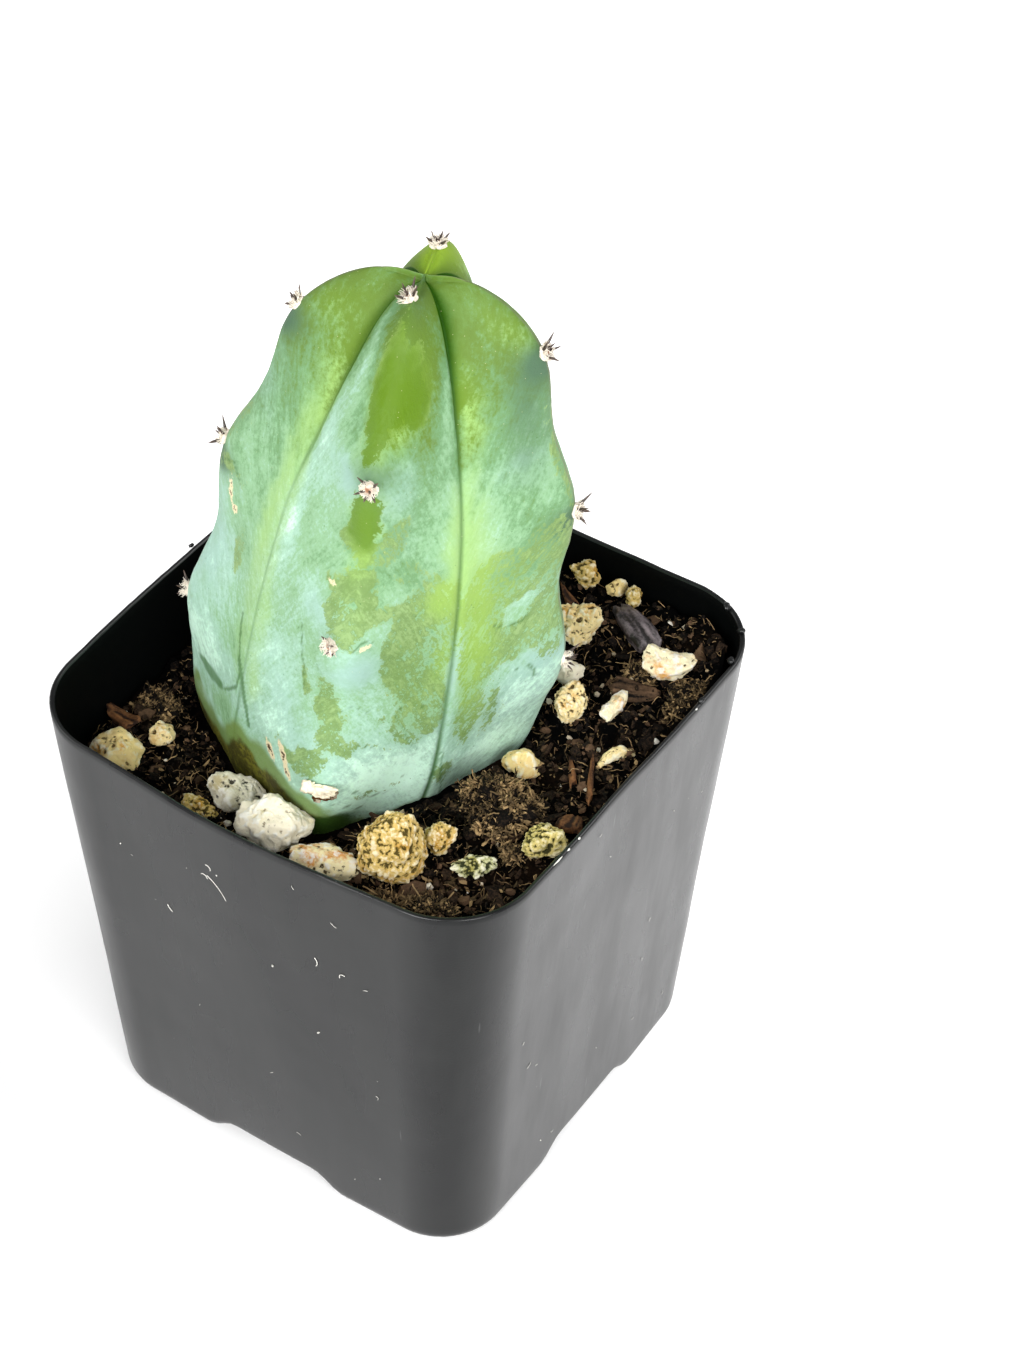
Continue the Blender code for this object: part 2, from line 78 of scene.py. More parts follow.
def lattice(i: Array, j: Array, k: Array, seed: int) -> Array:
    """A fixed number from 0 to 1 for each whole-number point, by mixing its bits.

    Args:
        i, j, k: whole numbers.
        seed: picks one of many such fields.

    Returns:
        The numbers, in the shape of i.
    """
    mixed = (i * MIX_X + j * MIX_Y + k * MIX_Z + seed * MIX_SEED) & WORD
    mixed = ((mixed ^ (mixed >> 13)) * MIX_LATER) & WORD
    mixed = ((mixed ^ (mixed >> 15)) * MIX_Y) & WORD
    return ((mixed ^ (mixed >> 16)) & FRACTION) / float(FRACTION)


def grain(points: Array, size: float, seed: int = 0, octaves: int = 3) -> Array:
    """Smooth random field: lattice numbers blended by 3t^2 - 2t^3, in halving octaves.

    Args:
        points: (..., 3) places.
        size: spacing of the coarsest bumps, in the unit of the places.
        seed: picks one of many such fields.
        octaves: how many times finer bumps of half the height are added.

    Returns:
        Values from about -1 to 1.
    """
    total = np.zeros(points.shape[:-1])
    height = 1.0
    for octave in range(octaves):
        scaled = points * (2**octave / size) + OCTAVE_SHIFT * octave
        corner = np.floor(scaled).astype(np.int64)
        part = scaled - corner
        part = part * part * (3 - 2 * part)
        value = np.zeros(points.shape[:-1])
        for number in range(8):
            step = np.array([number & 1, number >> 1 & 1, number >> 2 & 1])
            weight = np.prod(np.where(step == 1, part, 1 - part), axis=-1)
            spot = corner + step
            value += weight * lattice(spot[..., 0], spot[..., 1], spot[..., 2], seed + octave)
        total += height * (2 * value - 1)
        height *= 0.5
    return total * GRAIN_REACH / (2 - height * 2)


def grains(points: Array, *layers: tuple) -> Array:
    """Sum of random fields; a layer is its height, its size, its seed and perhaps its octaves."""
    return sum(height * grain(points, *rest) for height, *rest in layers)


def cells(points: Array, size: float, seed: int = 0) -> tuple[Array, Array]:
    """Cell pattern: one point is thrown into each cube, and the nearest one is found.

    Args:
        points: (..., 3) places.
        size: the cubes' width.
        seed: picks one of many such patterns.

    Returns:
        The distance to the nearest thrown point in cube widths, and that point's number.
    """
    scaled = points / size
    corner = np.floor(scaled).astype(np.int64)
    nearest = np.full(points.shape[:-1], 9.0)
    number = np.zeros(points.shape[:-1])
    for step in np.ndindex(3, 3, 3):
        cube = corner + np.array(step) - 1
        key = (cube[..., 0], cube[..., 1], cube[..., 2])
        thrown = np.stack([lattice(*key, seed + axis) for axis in range(3)], axis=-1)
        gap = np.linalg.norm(cube + thrown - scaled, axis=-1)
        closer = gap < nearest
        nearest = np.where(closer, gap, nearest)
        number = np.where(closer, lattice(*key, seed + 9), number)
    return nearest, number


def ramp(value: Array, low: float, high: float) -> Array:
    """0 below low, 1 above high and 3t^2 - 2t^3 between; low may be the larger."""
    share = np.clip((value - low) / (high - low), 0.0, 1.0)
    return share * share * (3 - 2 * share)


def unit(ways: Array, least: float = 0.0) -> Array:
    """Vectors over their length, to which least is added so that none is divided by 0."""
    return ways / (np.linalg.norm(ways, axis=-1, keepdims=True) + least)


# ------------------------------------------------------------------------ meshes


@dataclass
class Surface:
    """Points in millimetres with faces of four and three corners and values at points.

    The finish is the number of its material, or one number for each face, quads first.
    """

    points: Array
    quads: Array = field(default_factory=lambda: np.zeros((0, 4), np.int64))
    tris: Array = field(default_factory=lambda: np.zeros((0, 3), np.int64))
    values: dict[str, Array] = field(default_factory=dict)
    finish: int | Array = 0

    def triangles(self) -> int:
        """Number of triangles."""
        return 2 * len(self.quads) + len(self.tris)


def closed(grid: Array, start: Array, end: Array) -> Surface:
    """Rings of points as a surface closed by a fan to one point at each end.

    Args:
        grid: (rings, columns, 3) points; columns run anticlockwise seen along the rings.
        start: the point before the first ring.
        end: the point after the last ring.

    Returns:
        The surface, its faces pointing out.
    """
    rows, columns = grid.shape[:2]
    number = np.arange(rows * columns).reshape(rows, columns)
    after = np.roll(number, -1, axis=1)
    quads = np.stack([number[:-1], after[:-1], after[1:], number[1:]], axis=-1)
    low = np.full(columns, rows * columns)
    fans = [np.stack([low, after[0], number[0]], 1), np.stack([low + 1, number[-1], after[-1]], 1)]
    points = np.vstack([grid.reshape(-1, 3), start, end])
    return Surface(points, quads.reshape(-1, 4), np.vstack(fans))


def joined(parts: list[Surface]) -> tuple[Surface, Array]:
    """Several surfaces as one.

    Args:
        parts: surfaces; a value that one lacks is 0 there.

    Returns:
        The surface and each face's finish number, quads first.
    """
    names = sorted({name for part in parts for name in part.values})
    offsets = np.cumsum([0] + [len(part.points) for part in parts[:-1]])
    whole = Surface(np.vstack([part.points for part in parts]))
    whole.quads = np.vstack([part.quads + shift for part, shift in zip(parts, offsets)])
    whole.tris = np.vstack([part.tris + shift for part, shift in zip(parts, offsets)])
    for name in names:
        columns = [part.values.get(name, np.zeros(len(part.points))) for part in parts]
        whole.values[name] = np.concatenate(columns)
    each = [np.broadcast_to(part.finish, len(part.quads) + len(part.tris)) for part in parts]
    finishes = [numbers[: len(part.quads)] for numbers, part in zip(each, parts)]
    finishes += [numbers[len(part.quads) :] for numbers, part in zip(each, parts)]
    return whole, np.concatenate(finishes)


def tubes(paths: Array, radii: Array, sides: int, tones: Array | float, tip: float | None = None) -> Surface:
    """Many thin tubes: a circle carried square to each path, closed in a point at its ends.

    Args:
        paths: (tubes, steps, 3) middles.
        radii: (tubes, steps) radii.
        sides: corners of each circle.
        tones: tone of each circle, or what spreads to (tubes, steps).
        tip: tone of the end points; by default that of their tube's start.

    Returns:
        One surface that holds all the tubes.
    """
    count, steps = radii.shape
    along = unit(np.gradient(paths, axis=1), TINY)
    sideways = unit(np.cross(along, np.array([0.31, 0.52, 0.79])), TINY)
    upward = np.cross(along, sideways)
    angle = TAU * np.arange(sides) / sides
    turn = np.cos(angle)[:, None] * sideways[:, :, None] + np.sin(angle)[:, None] * upward[:, :, None]
    rings = paths[:, :, None] + radii[:, :, None, None] * turn
    number = np.arange(count * steps * sides).reshape(count, steps, sides)
    after = np.roll(number, -1, axis=2)
    quads = np.stack([number[:, :-1], after[:, :-1], after[:, 1:], number[:, 1:]], axis=-1)
    tips = paths[:, [0, -1]] + along[:, [0, -1]] * radii[:, [0, -1], None] * np.array([[-1.0], [1.0]])
    first = count * steps * sides + 2 * np.arange(count)[:, None]
    start = np.stack([first + 0 * number[:, 0], after[:, 0], number[:, 0]], axis=-1)
    end = np.stack([first + 1 + 0 * number[:, 0], number[:, -1], after[:, -1]], axis=-1)
    points = np.vstack([rings.reshape(-1, 3), tips.reshape(-1, 3)])
    made = Surface(points, quads.reshape(-1, 4), np.concatenate([start, end]).reshape(-1, 3))
    tones = np.broadcast_to(tones, radii.shape)
    ends = np.repeat(tones[:, 0], 2) if tip is None else np.full(2 * count, tip)
    made.values["tone"] = np.concatenate([np.repeat(tones.ravel(), sides), ends])
    return made


def sphere(rows: int, columns: int) -> Surface:
    """Unit sphere as rings of latitude with a point at each pole."""
    latitude = math.pi * (np.arange(1, rows + 1) / (rows + 1) - 0.5)
    longitude = TAU * np.arange(columns) / columns
    high, around = np.meshgrid(latitude, longitude, indexing="ij")
    grid = np.stack([np.cos(high) * np.cos(around), np.cos(high) * np.sin(around), np.sin(high)], -1)
    return closed(grid, np.array([0.0, 0.0, -1.0]), np.array([0.0, 0.0, 1.0]))


def spin(turn: float, tilt: float = 0.0) -> Array:
    """Matrix that tilts about Y and then turns about Z, in degrees."""
    c, s = math.cos(math.radians(turn)), math.sin(math.radians(turn))
    d, t = math.cos(math.radians(tilt)), math.sin(math.radians(tilt))
    return np.array([[c, -s, 0], [s, c, 0], [0, 0, 1]]) @ np.array([[d, 0, t], [0, 1, 0], [-t, 0, d]])


def lying_turns(count: int, draw: Draw) -> Array:
    """Rotations about Z, each one tipped a little at random."""
    around = draw.uniform(0, TAU, count)
    level = np.zeros((count, 3, 3))
    level[:, 0, 0] = level[:, 1, 1] = np.cos(around)
    level[:, 1, 0], level[:, 0, 1] = np.sin(around), -np.sin(around)
    level[:, 2, 2] = 1.0
    turns, _ = np.linalg.qr(level + 0.35 * draw.normal(size=(count, 3, 3)))
    return turns * np.sign(np.linalg.det(turns))[:, None, None]


def random_turns(count: int, draw: Draw) -> Array:
    """Evenly spread rotations, from random unit quaternions."""
    w, x, y, z = unit(draw.normal(size=(count, 4))).T
    rows = [
        [1 - 2 * (y * y + z * z), 2 * (x * y - z * w), 2 * (x * z + y * w)],
        [2 * (x * y + z * w), 1 - 2 * (x * x + z * z), 2 * (y * z - x * w)],
        [2 * (x * z - y * w), 2 * (y * z + x * w), 1 - 2 * (x * x + y * y)],
    ]
    return np.moveaxis(np.array(rows), 2, 0)


def copies(shape: Surface, places: Array, sizes: Array, turns: Array, tones: Array) -> Surface:
    """Copies of one small shape, each with its own place, size, turn and tone."""
    count = len(places)
    points = np.einsum("nij,npj->npi", turns, shape.points[None] * sizes[:, None]) + places[:, None]
    shift = len(shape.points) * np.arange(count)[:, None, None]
    made = Surface(points.reshape(-1, 3))
    made.quads = (shape.quads[None] + shift).reshape(-1, 4)
    made.tris = (shape.tris[None] + shift).reshape(-1, 3)
    made.values["tone"] = np.repeat(tones, len(shape.points))
    return made


def in_scene(name: str, data: bpy.types.ID) -> bpy.types.Object:
    """A new object that holds the data, linked into the scene."""
    made = bpy.data.objects.new(name, data)
    bpy.context.scene.collection.objects.link(made)
    return made


def place(name: str, parts: list[Surface], materials: list, slot: str, nodes: tuple = (),
          smooth: bool = True) -> bpy.types.Object:
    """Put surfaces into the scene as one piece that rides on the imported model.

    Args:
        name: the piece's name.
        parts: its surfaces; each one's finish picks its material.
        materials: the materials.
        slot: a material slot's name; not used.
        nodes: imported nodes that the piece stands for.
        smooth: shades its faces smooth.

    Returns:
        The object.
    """
    whole, finishes = joined(parts)
    corners = np.concatenate([whole.quads.ravel(), whole.tris.ravel()]).astype(np.int32)
    four, three = len(whole.quads), len(whole.tris)
    starts = np.concatenate([4 * np.arange(four), 4 * four + 3 * np.arange(three)]).astype(np.int32)
    mesh = bpy.data.meshes.new(name)
    mesh.vertices.add(len(whole.points))
    mesh.vertices.foreach_set("co", (whole.points * MM).astype(np.float32).ravel())
    mesh.loops.add(len(corners))
    mesh.loops.foreach_set("vertex_index", corners)
    mesh.polygons.add(len(starts))
    mesh.polygons.foreach_set("loop_start", starts)
    mesh.polygons.foreach_set("material_index", finishes.astype(np.int32))
    mesh.polygons.foreach_set("use_smooth", np.full(len(starts), smooth))
    mesh.update(calc_edges=True)
    for key, value in whole.values.items():
        layer = mesh.attributes.new(key, "FLOAT", "POINT")
        layer.data.foreach_set("value", value.astype(np.float32))
    for material in materials:
        mesh.materials.append(material)
    piece = in_scene(name, mesh)
    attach(piece, "root")
    if nodes:
        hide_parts(*nodes)
    LOG.info("%s: %d triangles", name, whole.triangles())
    return piece


# --------------------------------------------------------------------- materials


def linear(code: str) -> tuple[float, float, float, float]:
    """An sRGB hex colour as linear red, green, blue and alpha."""
    parts = [int(code[i : i + 2], 16) / 255 for i in (1, 3, 5)]
    return (*(c / 12.92 if c <= 0.04045 else ((c + 0.055) / 1.055) ** 2.4 for c in parts), 1.0)


def tint(colour: object) -> object:
    """A hex code as a linear colour; a socket stays as it is."""
    return linear(colour) if isinstance(colour, str) else colour


@dataclass
class Graph:
    """The nodes of one material."""

    tree: bpy.types.NodeTree

    def add(self, kind: str, inputs: dict | None = None, out: int = 0, **settings) -> Socket:
        """Add a node with its settings and links.

        Args:
            kind: the node's type, without its common beginning.
            inputs: for sockets by name or number, a value or the socket to link.
            out: number of the output to hand back.
            settings: the node's own properties.

        Returns:
            The output socket.
        """
        made = self.tree.nodes.new("ShaderNode" + kind)
        for key, value in settings.items():
            setattr(made, key, value)
        for key, value in (inputs or {}).items():
            if isinstance(value, Socket):
                self.tree.links.new(value, made.inputs[key])
            else:
                made.inputs[key].default_value = value
        return made.outputs[out]

    def millimetres(self) -> Socket:
        """Object coordinates in millimetres."""
        spot = self.add("TexCoord", out=3)
        return self.add("VectorMath", {0: spot, 1: (1000.0, 1000.0, 1000.0)}, operation="MULTIPLY")

    def step(self, value: object, low: float, high: float, top: float = 1.0) -> Socket:
        """A soft step from 0 at low to top at high; low may be the larger."""
        ends = {0: value, 1: low, 2: high, 3: 0.0, 4: top}
        if low > high:
            ends = {0: value, 1: high, 2: low, 3: top, 4: 0.0}
        return self.add("MapRange", ends, interpolation_type="SMOOTHSTEP")

    def swayed(self, value: object, *noises: tuple) -> object:
        """A value plus weighted noises, each taken about its middle of 0.5."""
        for pattern, weight in noises:
            inputs = {0: pattern, 1: weight, 2: -0.5 * weight}
            swing = self.add("Math", inputs, operation="MULTIPLY_ADD")
            value = self.add("Math", {0: value, 1: swing}, operation="ADD")
        return value

    def coat(self, colour: object, value: object, low: float, high: float, *noises: tuple,
             top: float = 1.0) -> tuple[object, object]:
        """One layer for blend: a colour, and the soft step of a swayed value as its mask."""
        return self.step(self.swayed(value, *noises), low, high, top), colour

    def blend(self, layers: list, base: object) -> object:
        """Lay colours over a base, each with its own mask; a colour is a hex code or a socket."""
        colour = tint(base)
        for mask, layer in layers:
            colour = self.add("Mix", {0: mask, 6: colour, 7: tint(layer)}, out=2, data_type="RGBA")
        return colour

    def feed(self, shader: bpy.types.Node, **sockets: object) -> None:
        """Link sockets to the shader's inputs of those names, with _ for a space."""
        for name, socket in sockets.items():
            self.tree.links.new(socket, shader.inputs[name.replace("_", " ")])


@dataclass(frozen=True)
class Finish:
    """One real material; a kind of it adds its pattern in dress."""

    name: str
    roughness: float = 0.6
    specular: float = 0.5
    ior: float = 1.5

    def dress(self, graph: Graph, shader: bpy.types.Node) -> None:
        """Add the pattern; the plain finish has none."""

    def material(self) -> bpy.types.Material:
        """Build the material."""
        made = bpy.data.materials.new(self.name)
        made.use_nodes = True
        shader = made.node_tree.nodes["Principled BSDF"]
        shader.inputs["Roughness"].default_value = self.roughness
        shader.inputs["Specular IOR Level"].default_value = self.specular
        shader.inputs["IOR"].default_value = self.ior
        self.dress(Graph(made.node_tree), shader)
        return made


@dataclass(frozen=True)
class WaxySkin(Finish):
    """Cactus epidermis: green flesh under a powdery wax bloom, which is rubbed off in places.

    The mesh carries soft masks, and noise here breaks their edges: clouds, grain, and
    streaks that follow the skin's growth lines down from the crests to the grooves.
    """

    green: str = "#5b7924"
    green_pale: str = "#65893f"
    fresh: str = "#62821c"
    # Blue-green of the flesh, also painted as shade round the areoles.
    teal: str = "#46664a"
    thin_bloom: str = "#6b9667"
    bloom: str = "#88b187"
    thick_bloom: str = "#9dc4ad"
    chalky_bloom: str = "#cbf0d9"
    blue_bloom: str = "#9abdb2"
    lime_bloom: str = "#98bd66"
    ripe: str = "#56780c"
    young: str = "#86a72c"
    worn_lime: str = "#8cb048"
    rubbed: str = "#6a8843"
    rubbed_pale: str = "#8aa763"
    cork_pale: str = "#6c8540"
    cork: str = "#66651f"
    cork_dark: str = "#3c3a10"
    # Dark green of the painted shade at the front of the foot.
    shade_green: str = "#2c4812"
    # Dark green for the painted shade down the grooves, and for the real veins, cuts, nicks and specks.
    crease: str = "#3d692c"
    # Dark green of the painted shade in the folds at the top of the front rib.
    deep: str = "#2a5800"
    scar: str = "#e0d3ab"
    wound: str = "#4d3620"
    edge: str = "#6f7553"

    def dress(self, graph: Graph, shader: bpy.types.Node) -> None:
        """Flesh, bloom, rubbed patches, cork and scars, from the skin outwards."""
        add, coat, step, swayed = graph.add, graph.coat, graph.step, graph.swayed
        names = "bloom blue lime ripe young rub teal cork shade crease deep scar edge across along"
        mask = {name: add("Attribute", out=2, attribute_name=name) for name in names.split()}
        spot = graph.millimetres()
        lines = add("CombineXYZ", {0: mask["across"], 1: mask["along"]})
        cloud, fine, streak, hatch = (
            add("TexNoise", {"Vector": way, "Scale": 1 / size, "Detail": detail, "Roughness": rough})
            for way, size, detail, rough in (
                (spot, 4.5, 4.0, 0.6), (spot, 0.6, 5.0, 0.75), (lines, 1.5, 5.0, 0.62), (lines, 0.4, 3.0, 0.7)
            )
        )
        speck, pore = (add("TexVoronoi", {"Vector": spot, "Scale": 1 / size}) for size in (1.5, 0.9))
        flesh = [
            coat(self.green_pale, cloud, 0.35, 0.8, (streak, 0.8), (fine, 0.4)),
            coat(self.fresh, mask["lime"], 0.0, 0.9, (cloud, 0.5), (streak, 0.6), top=0.9),
        ]
        thick = swayed(mask["bloom"], (streak, 0.75), (cloud, 0.5), (fine, 0.95), (hatch, 0.6))
        wax = [
            coat(self.bloom, thick, 0.42, 0.74),
            coat(self.thick_bloom, thick, 0.72, 1.05),
            coat(self.lime_bloom, mask["lime"], 0.1, 1.1, (streak, 0.5), (cloud, 0.3), top=0.85),
            coat(self.blue_bloom, mask["blue"], 0.05, 1.0, (cloud, 0.6), (fine, 0.4), top=0.85),
            coat(self.chalky_bloom, thick, 1.0, 1.5),
        ]
        worn = [
            coat(self.rubbed_pale, hatch, 0.4, 0.75, (fine, 0.8), (cloud, 0.6), top=0.9),
            coat(self.worn_lime, mask["lime"], 0.1, 0.8, (fine, 0.6), top=0.8),
            coat(self.ripe, mask["ripe"], 0.1, 0.6, (cloud, 0.3)),
        ]
        rub = swayed(mask["rub"], (fine, 2.4), (streak, 1.5), (cloud, 1.4), (hatch, 1.5))
        bare = step(rub, -0.12, 0.14, 0.9)
        cork = graph.blend([coat(self.cork_dark, fine, 0.58, 0.44, (cloud, 0.8))], self.cork)
        skin = [
            coat(graph.blend(wax, self.thin_bloom), thick, 0.0, 0.5),
            # Blue-green flesh, with painted shade round the areoles.
            coat(self.teal, mask["teal"], 0.05, 1.0, (cloud, 0.4), (fine, 0.2)),
            (bare, graph.blend(worn, self.rubbed)),
            coat(self.young, mask["young"], 0.05, 0.9, (cloud, 0.3), (streak, 0.3)),
            coat(self.edge, mask["edge"], 0.3, 0.9, (fine, 0.5), top=0.7),
            # Painted shade in the folds beside the top of the front rib.
            coat(self.deep, mask["deep"], 0.02, 0.85, (cloud, 0.2)),
            # Painted shade down each groove, stronger near the soil, with the real veins, cuts and nicks.
            coat(self.crease, mask["crease"], 0.05, 0.95, (fine, 0.25), top=0.92),
            coat(self.cork_pale, mask["cork"], 0.1, 0.9, (fine, 0.7), (streak, 0.6), top=0.9),
            coat(cork, mask["cork"], 1.1, 1.8, (fine, 0.8), (streak, 0.8)),
            # Painted shade, dark green, where the front of the foot meets the soil.
            coat(self.shade_green, mask["shade"], 0.15, 0.75, (fine, 0.6)),
            coat(self.scar, mask["scar"], 0.35, 0.5, (fine, 1.3)),
            coat(self.wound, mask["scar"], 0.74, 0.86, (fine, 2.4)),
            coat(self.crease, speck, 0.075, 0.05, top=0.5),
            coat(self.scar, pore, 0.07, 0.045, top=0.35),
        ]
        # The painted fold shade, and the riper skin, turn the sheen down.
        matt = {0: mask["ripe"], 1: 0.6, 2: mask["deep"]}
        matt = add("Math", matt, operation="MULTIPLY_ADD", use_clamp=True)
        sheen = {0: matt, 1: -0.9 * self.specular, 2: self.specular}
        dull = {0: bare, 1: -0.15, 2: self.roughness}
        bumps = {"Height": swayed(fine, (hatch, 0.6)), "Distance": 0.1 * MM, "Strength": 0.8}
        graph.feed(
            shader,
            Base_Color=graph.blend(skin, graph.blend(flesh, self.green)),
            Specular_IOR_Level=add("Math", sheen, operation="MULTIPLY_ADD"),
            Roughness=add("Math", dull, operation="MULTIPLY_ADD"),
            Normal=add("Bump", bumps),
        )
        shader.inputs["Subsurface Weight"].default_value = 0.06
        shader.inputs["Subsurface Radius"].default_value = (0.6 * MM, 1.2 * MM, 0.4 * MM)
        shader.inputs["Subsurface Scale"].default_value = 1.0


@dataclass(frozen=True)
class Toned(Finish):
    """A material whose colour runs between two by the mesh's own tone, with fine noise."""

    dark: str = "#1a120c"
    light: str = "#5a3b24"
    grit: float = 0.3
    depth: float = 0.05
    spread: float = 0.6

    def dress(self, graph: Graph, shader: bpy.types.Node) -> None:
        """Tone and noise mix the two colours, and the same noise roughens the surface."""
        inputs = {"Vector": graph.millimetres(), "Scale": 1 / self.grit, "Detail": 4.0, "Roughness": 0.7}
        grit = graph.add("TexNoise", inputs)
        tone = graph.add("Attribute", out=2, attribute_name="tone")
        share = graph.add("Clamp", {0: graph.swayed(tone, (grit, 2 * self.spread))})
        colour = graph.blend([(share, self.light)], self.dark)
        bumps = graph.add("Bump", {"Height": grit, "Distance": self.depth * MM, "Strength": 1.0})
        graph.feed(shader, Base_Color=colour, Normal=bumps)


@dataclass(frozen=True)
class Pumice(Finish):
    """Pumice: foamed volcanic glass, gritty, darker in its hollows, with worn tips that carry a painted
    highlight.

    The mesh's tone is each point's height over the stone's mean surface.
    """

    roughness: float = 0.9
    specular: float = 0.2
    body: str = "#e4dcc6"
    # Pale raised tips: wear, with a painted highlight.
    tip: str = "#fffaf0"
    warm: str = "#dfae63"
    hollow_dark: str = "#54401f"
    moss: str = "#5c6a24"
    warmth: float = 0.5
    hollow_darkness: float = 0.5
    mossiness: float = 0.0

    def dress(self, graph: Graph, shader: bpy.types.Node) -> None:
        """Warm clouds and grit over the body colour, pale tips with a painted highlight, and darker hollows.
        """
        spot = graph.millimetres()
        cloud, grit, spots = (
            graph.add("TexNoise", {"Vector": spot, "Scale": 1 / size, "Detail": detail, "Roughness": rough})
            for size, detail, rough in ((2.8, 3.0, 0.5), (0.32, 5.0, 0.8), (0.8, 3.0, 0.7))
        )
        tone = graph.add("Attribute", out=2, attribute_name="tone")
        low = graph.swayed(tone, (grit, 1.1), (spots, 0.3))
        warm_from, hollow_from = 0.72 - 0.45 * self.warmth, 0.36 * self.hollow_darkness + 0.14
        layers = [
            graph.coat(self.warm, cloud, warm_from, warm_from + 0.23, (spots, 0.5)),
            graph.coat(self.moss, cloud, 0.5, 0.3, (grit, 0.8), top=self.mossiness),
            # The highest points paler: wear, with a painted highlight.
            graph.coat(self.tip, low, 0.55, 0.95, top=0.85),
            graph.coat(self.hollow_dark, low, hollow_from, hollow_from - 0.24, top=0.95),
        ]
        bumps = graph.add("Bump", {"Height": grit, "Distance": 0.28 * MM, "Strength": 1.0})
        graph.feed(shader, Base_Color=graph.blend(layers, self.body), Normal=bumps)


@dataclass(frozen=True)
class MouldedPlastic(Finish):
    """Black polypropylene, injection moulded thin: satin, with rub marks and pale scuffs.

    The mesh's corner value is 1 at the middle of the pot's rounded corners, with painted shade in their
    sheen.
    """

    body: str = "#0f1011"
    worn: str = "#171818"
    scuff: str = "#8d8f8e"
    corner_reflection_shade: float = 0.24

    def dress(self, graph: Graph, shader: bpy.types.Node) -> None:
        """Slanting smears change colour and gloss a little, and hair scratches catch light."""
        add = graph.add
        spot = graph.millimetres()
        slanted = add("Mapping", {"Vector": spot, "Rotation": (0.6, 0.25, 0.0), "Scale": (1.0, 1.0, 0.22)})
        hair = add("Mapping", {"Vector": spot, "Rotation": (0.9, 0.4, 0.3), "Scale": (1.0, 1.0, 0.06)})
        smear, cloud, fine = (
            add("TexNoise", {"Vector": way, "Scale": 1 / size, "Detail": detail, "Roughness": rough})
            for way, size, detail, rough in (
                (slanted, 5.0, 3.0, 0.55), (spot, 18.0, 2.0, 0.5), (spot, 0.25, 2.0, 0.5)
            )
        )
        smeared = graph.step(smear, 0.4, 0.68)
        scratch = add("TexVoronoi", {"Vector": hair, "Scale": 1 / 3.0})
        cut = add("MapRange", {0: scratch, 1: 0.05, 2: 0.02, 3: 0.0, 4: 0.25})
        corner = add("Attribute", out=2, attribute_name="corner")
        sheen, sway, flow = (
            add("Math", {0: value, 1: by, 2: plus}, operation="MULTIPLY_ADD")
            for value, by, plus in (
                # Less sheen at the corners: painted shade in their reflection.
                (corner, -self.corner_reflection_shade, self.specular),
                (cloud, 0.12, self.roughness - 0.06),
                (smear, 6.0, fine),
            )
        )
        graph.feed(
            shader,
            Base_Color=graph.blend([(smeared, self.worn), (cut, self.scuff)], self.body),
            Specular_IOR_Level=sheen,
            Roughness=add("Math", {0: smeared, 1: 0.07, 2: sway}, operation="MULTIPLY_ADD"),
            Normal=add("Bump", {"Height": flow, "Distance": 0.012 * MM, "Strength": 0.6}),
        )


# Living skin under a powder of wax: pale, bluish and matt, with green flesh where it is rubbed.
SKIN = WaxySkin("glaucous_cactus_skin", roughness=0.56, specular=0.35)
# Injection-moulded polypropylene: black with a satin gloss.
PLASTIC = MouldedPlastic("moulded_black_polypropylene", roughness=0.27)

# Toned finishes: name, roughness, specular level and colours, then the size of their grit in
# millimetres, the depth of its bumps, and how far it spreads the tone.

# The same plastic inside the pot, painted nearly black with almost no gloss: painted shade.
SHADED_INNER_PLASTIC = Toned(
    "shaded_inner_polypropylene", 0.6, 0.08, dark="#020303", light="#080807", grit=2.0, depth=0.01
)
# Felted plant hair: matt, pale and soft; brown where it has withered. Spines are smooth dark horn.
WITHERED = Toned("withered_wool", 0.9, 0.1, dark="#4a2f14", light="#fdf3d6", spread=0.3)
FELT = Toned("areole_wool", 0.95, 0.1, dark="#9a6f55", light="#fff9ea", grit=0.25, spread=0.25)
SPINE = Toned("horny_spine", 0.4, 0.5, dark="#1c1110", light="#6b5648", depth=0.01, spread=0.25)
# Milled peat and composted bark: dark, damp and matt, with browner crumbs and paler fibres.
# The fill is painted nearly black: dark peat with the shade of the gaps between the crumbs.
PEAT_AND_GAP_SHADE = Toned("peat_fines_and_gap_shade", 0.95, 0.05, dark="#010101", light="#22160c", grit=0.4, depth=0.15)
CRUMB = Toned("peat_crumbs", 0.85, 0.12, dark="#050302", light="#745a44", depth=0.06, spread=0.45)
FIBRE = Toned("root_and_coir_fibre", 0.85, 0.12, dark="#0e0804", light="#c4a376", grit=0.6, spread=0.3)
# Dried sphagnum and expanded perlite: straw-coloured flakes and chalky white grains.
MOSS = Toned("dry_sphagnum", 0.8, 0.15, dark="#0a0603", light="#ae9166", grit=0.4, spread=0.4)
GRIT = Toned("perlite_grit", 0.9, 0.2, dark="#b09b78", light="#f4efe2", spread=0.3)
# Pine bark, flaked with a waxy sheen, and split wood, which is dry and reddish.
# The bark's pale grey streaks are partly painted highlights.
BARK = Toned("pine_bark", 0.36, 0.5, dark="#130d0b", light="#8f8386", grit=0.4, depth=0.08, spread=0.7)
WOOD = Toned("split_wood", 0.8, 0.25, dark="#24130a", light="#94643c")
# House dust and lint: pale specks and hairs without any gloss; also the rim's white marks and painted glints.
DUST_AND_GLINTS = Toned("dust_lint_and_glints", 0.9, 0.2, dark="#a5a49c", light="#f5f3ea", spread=0.2)
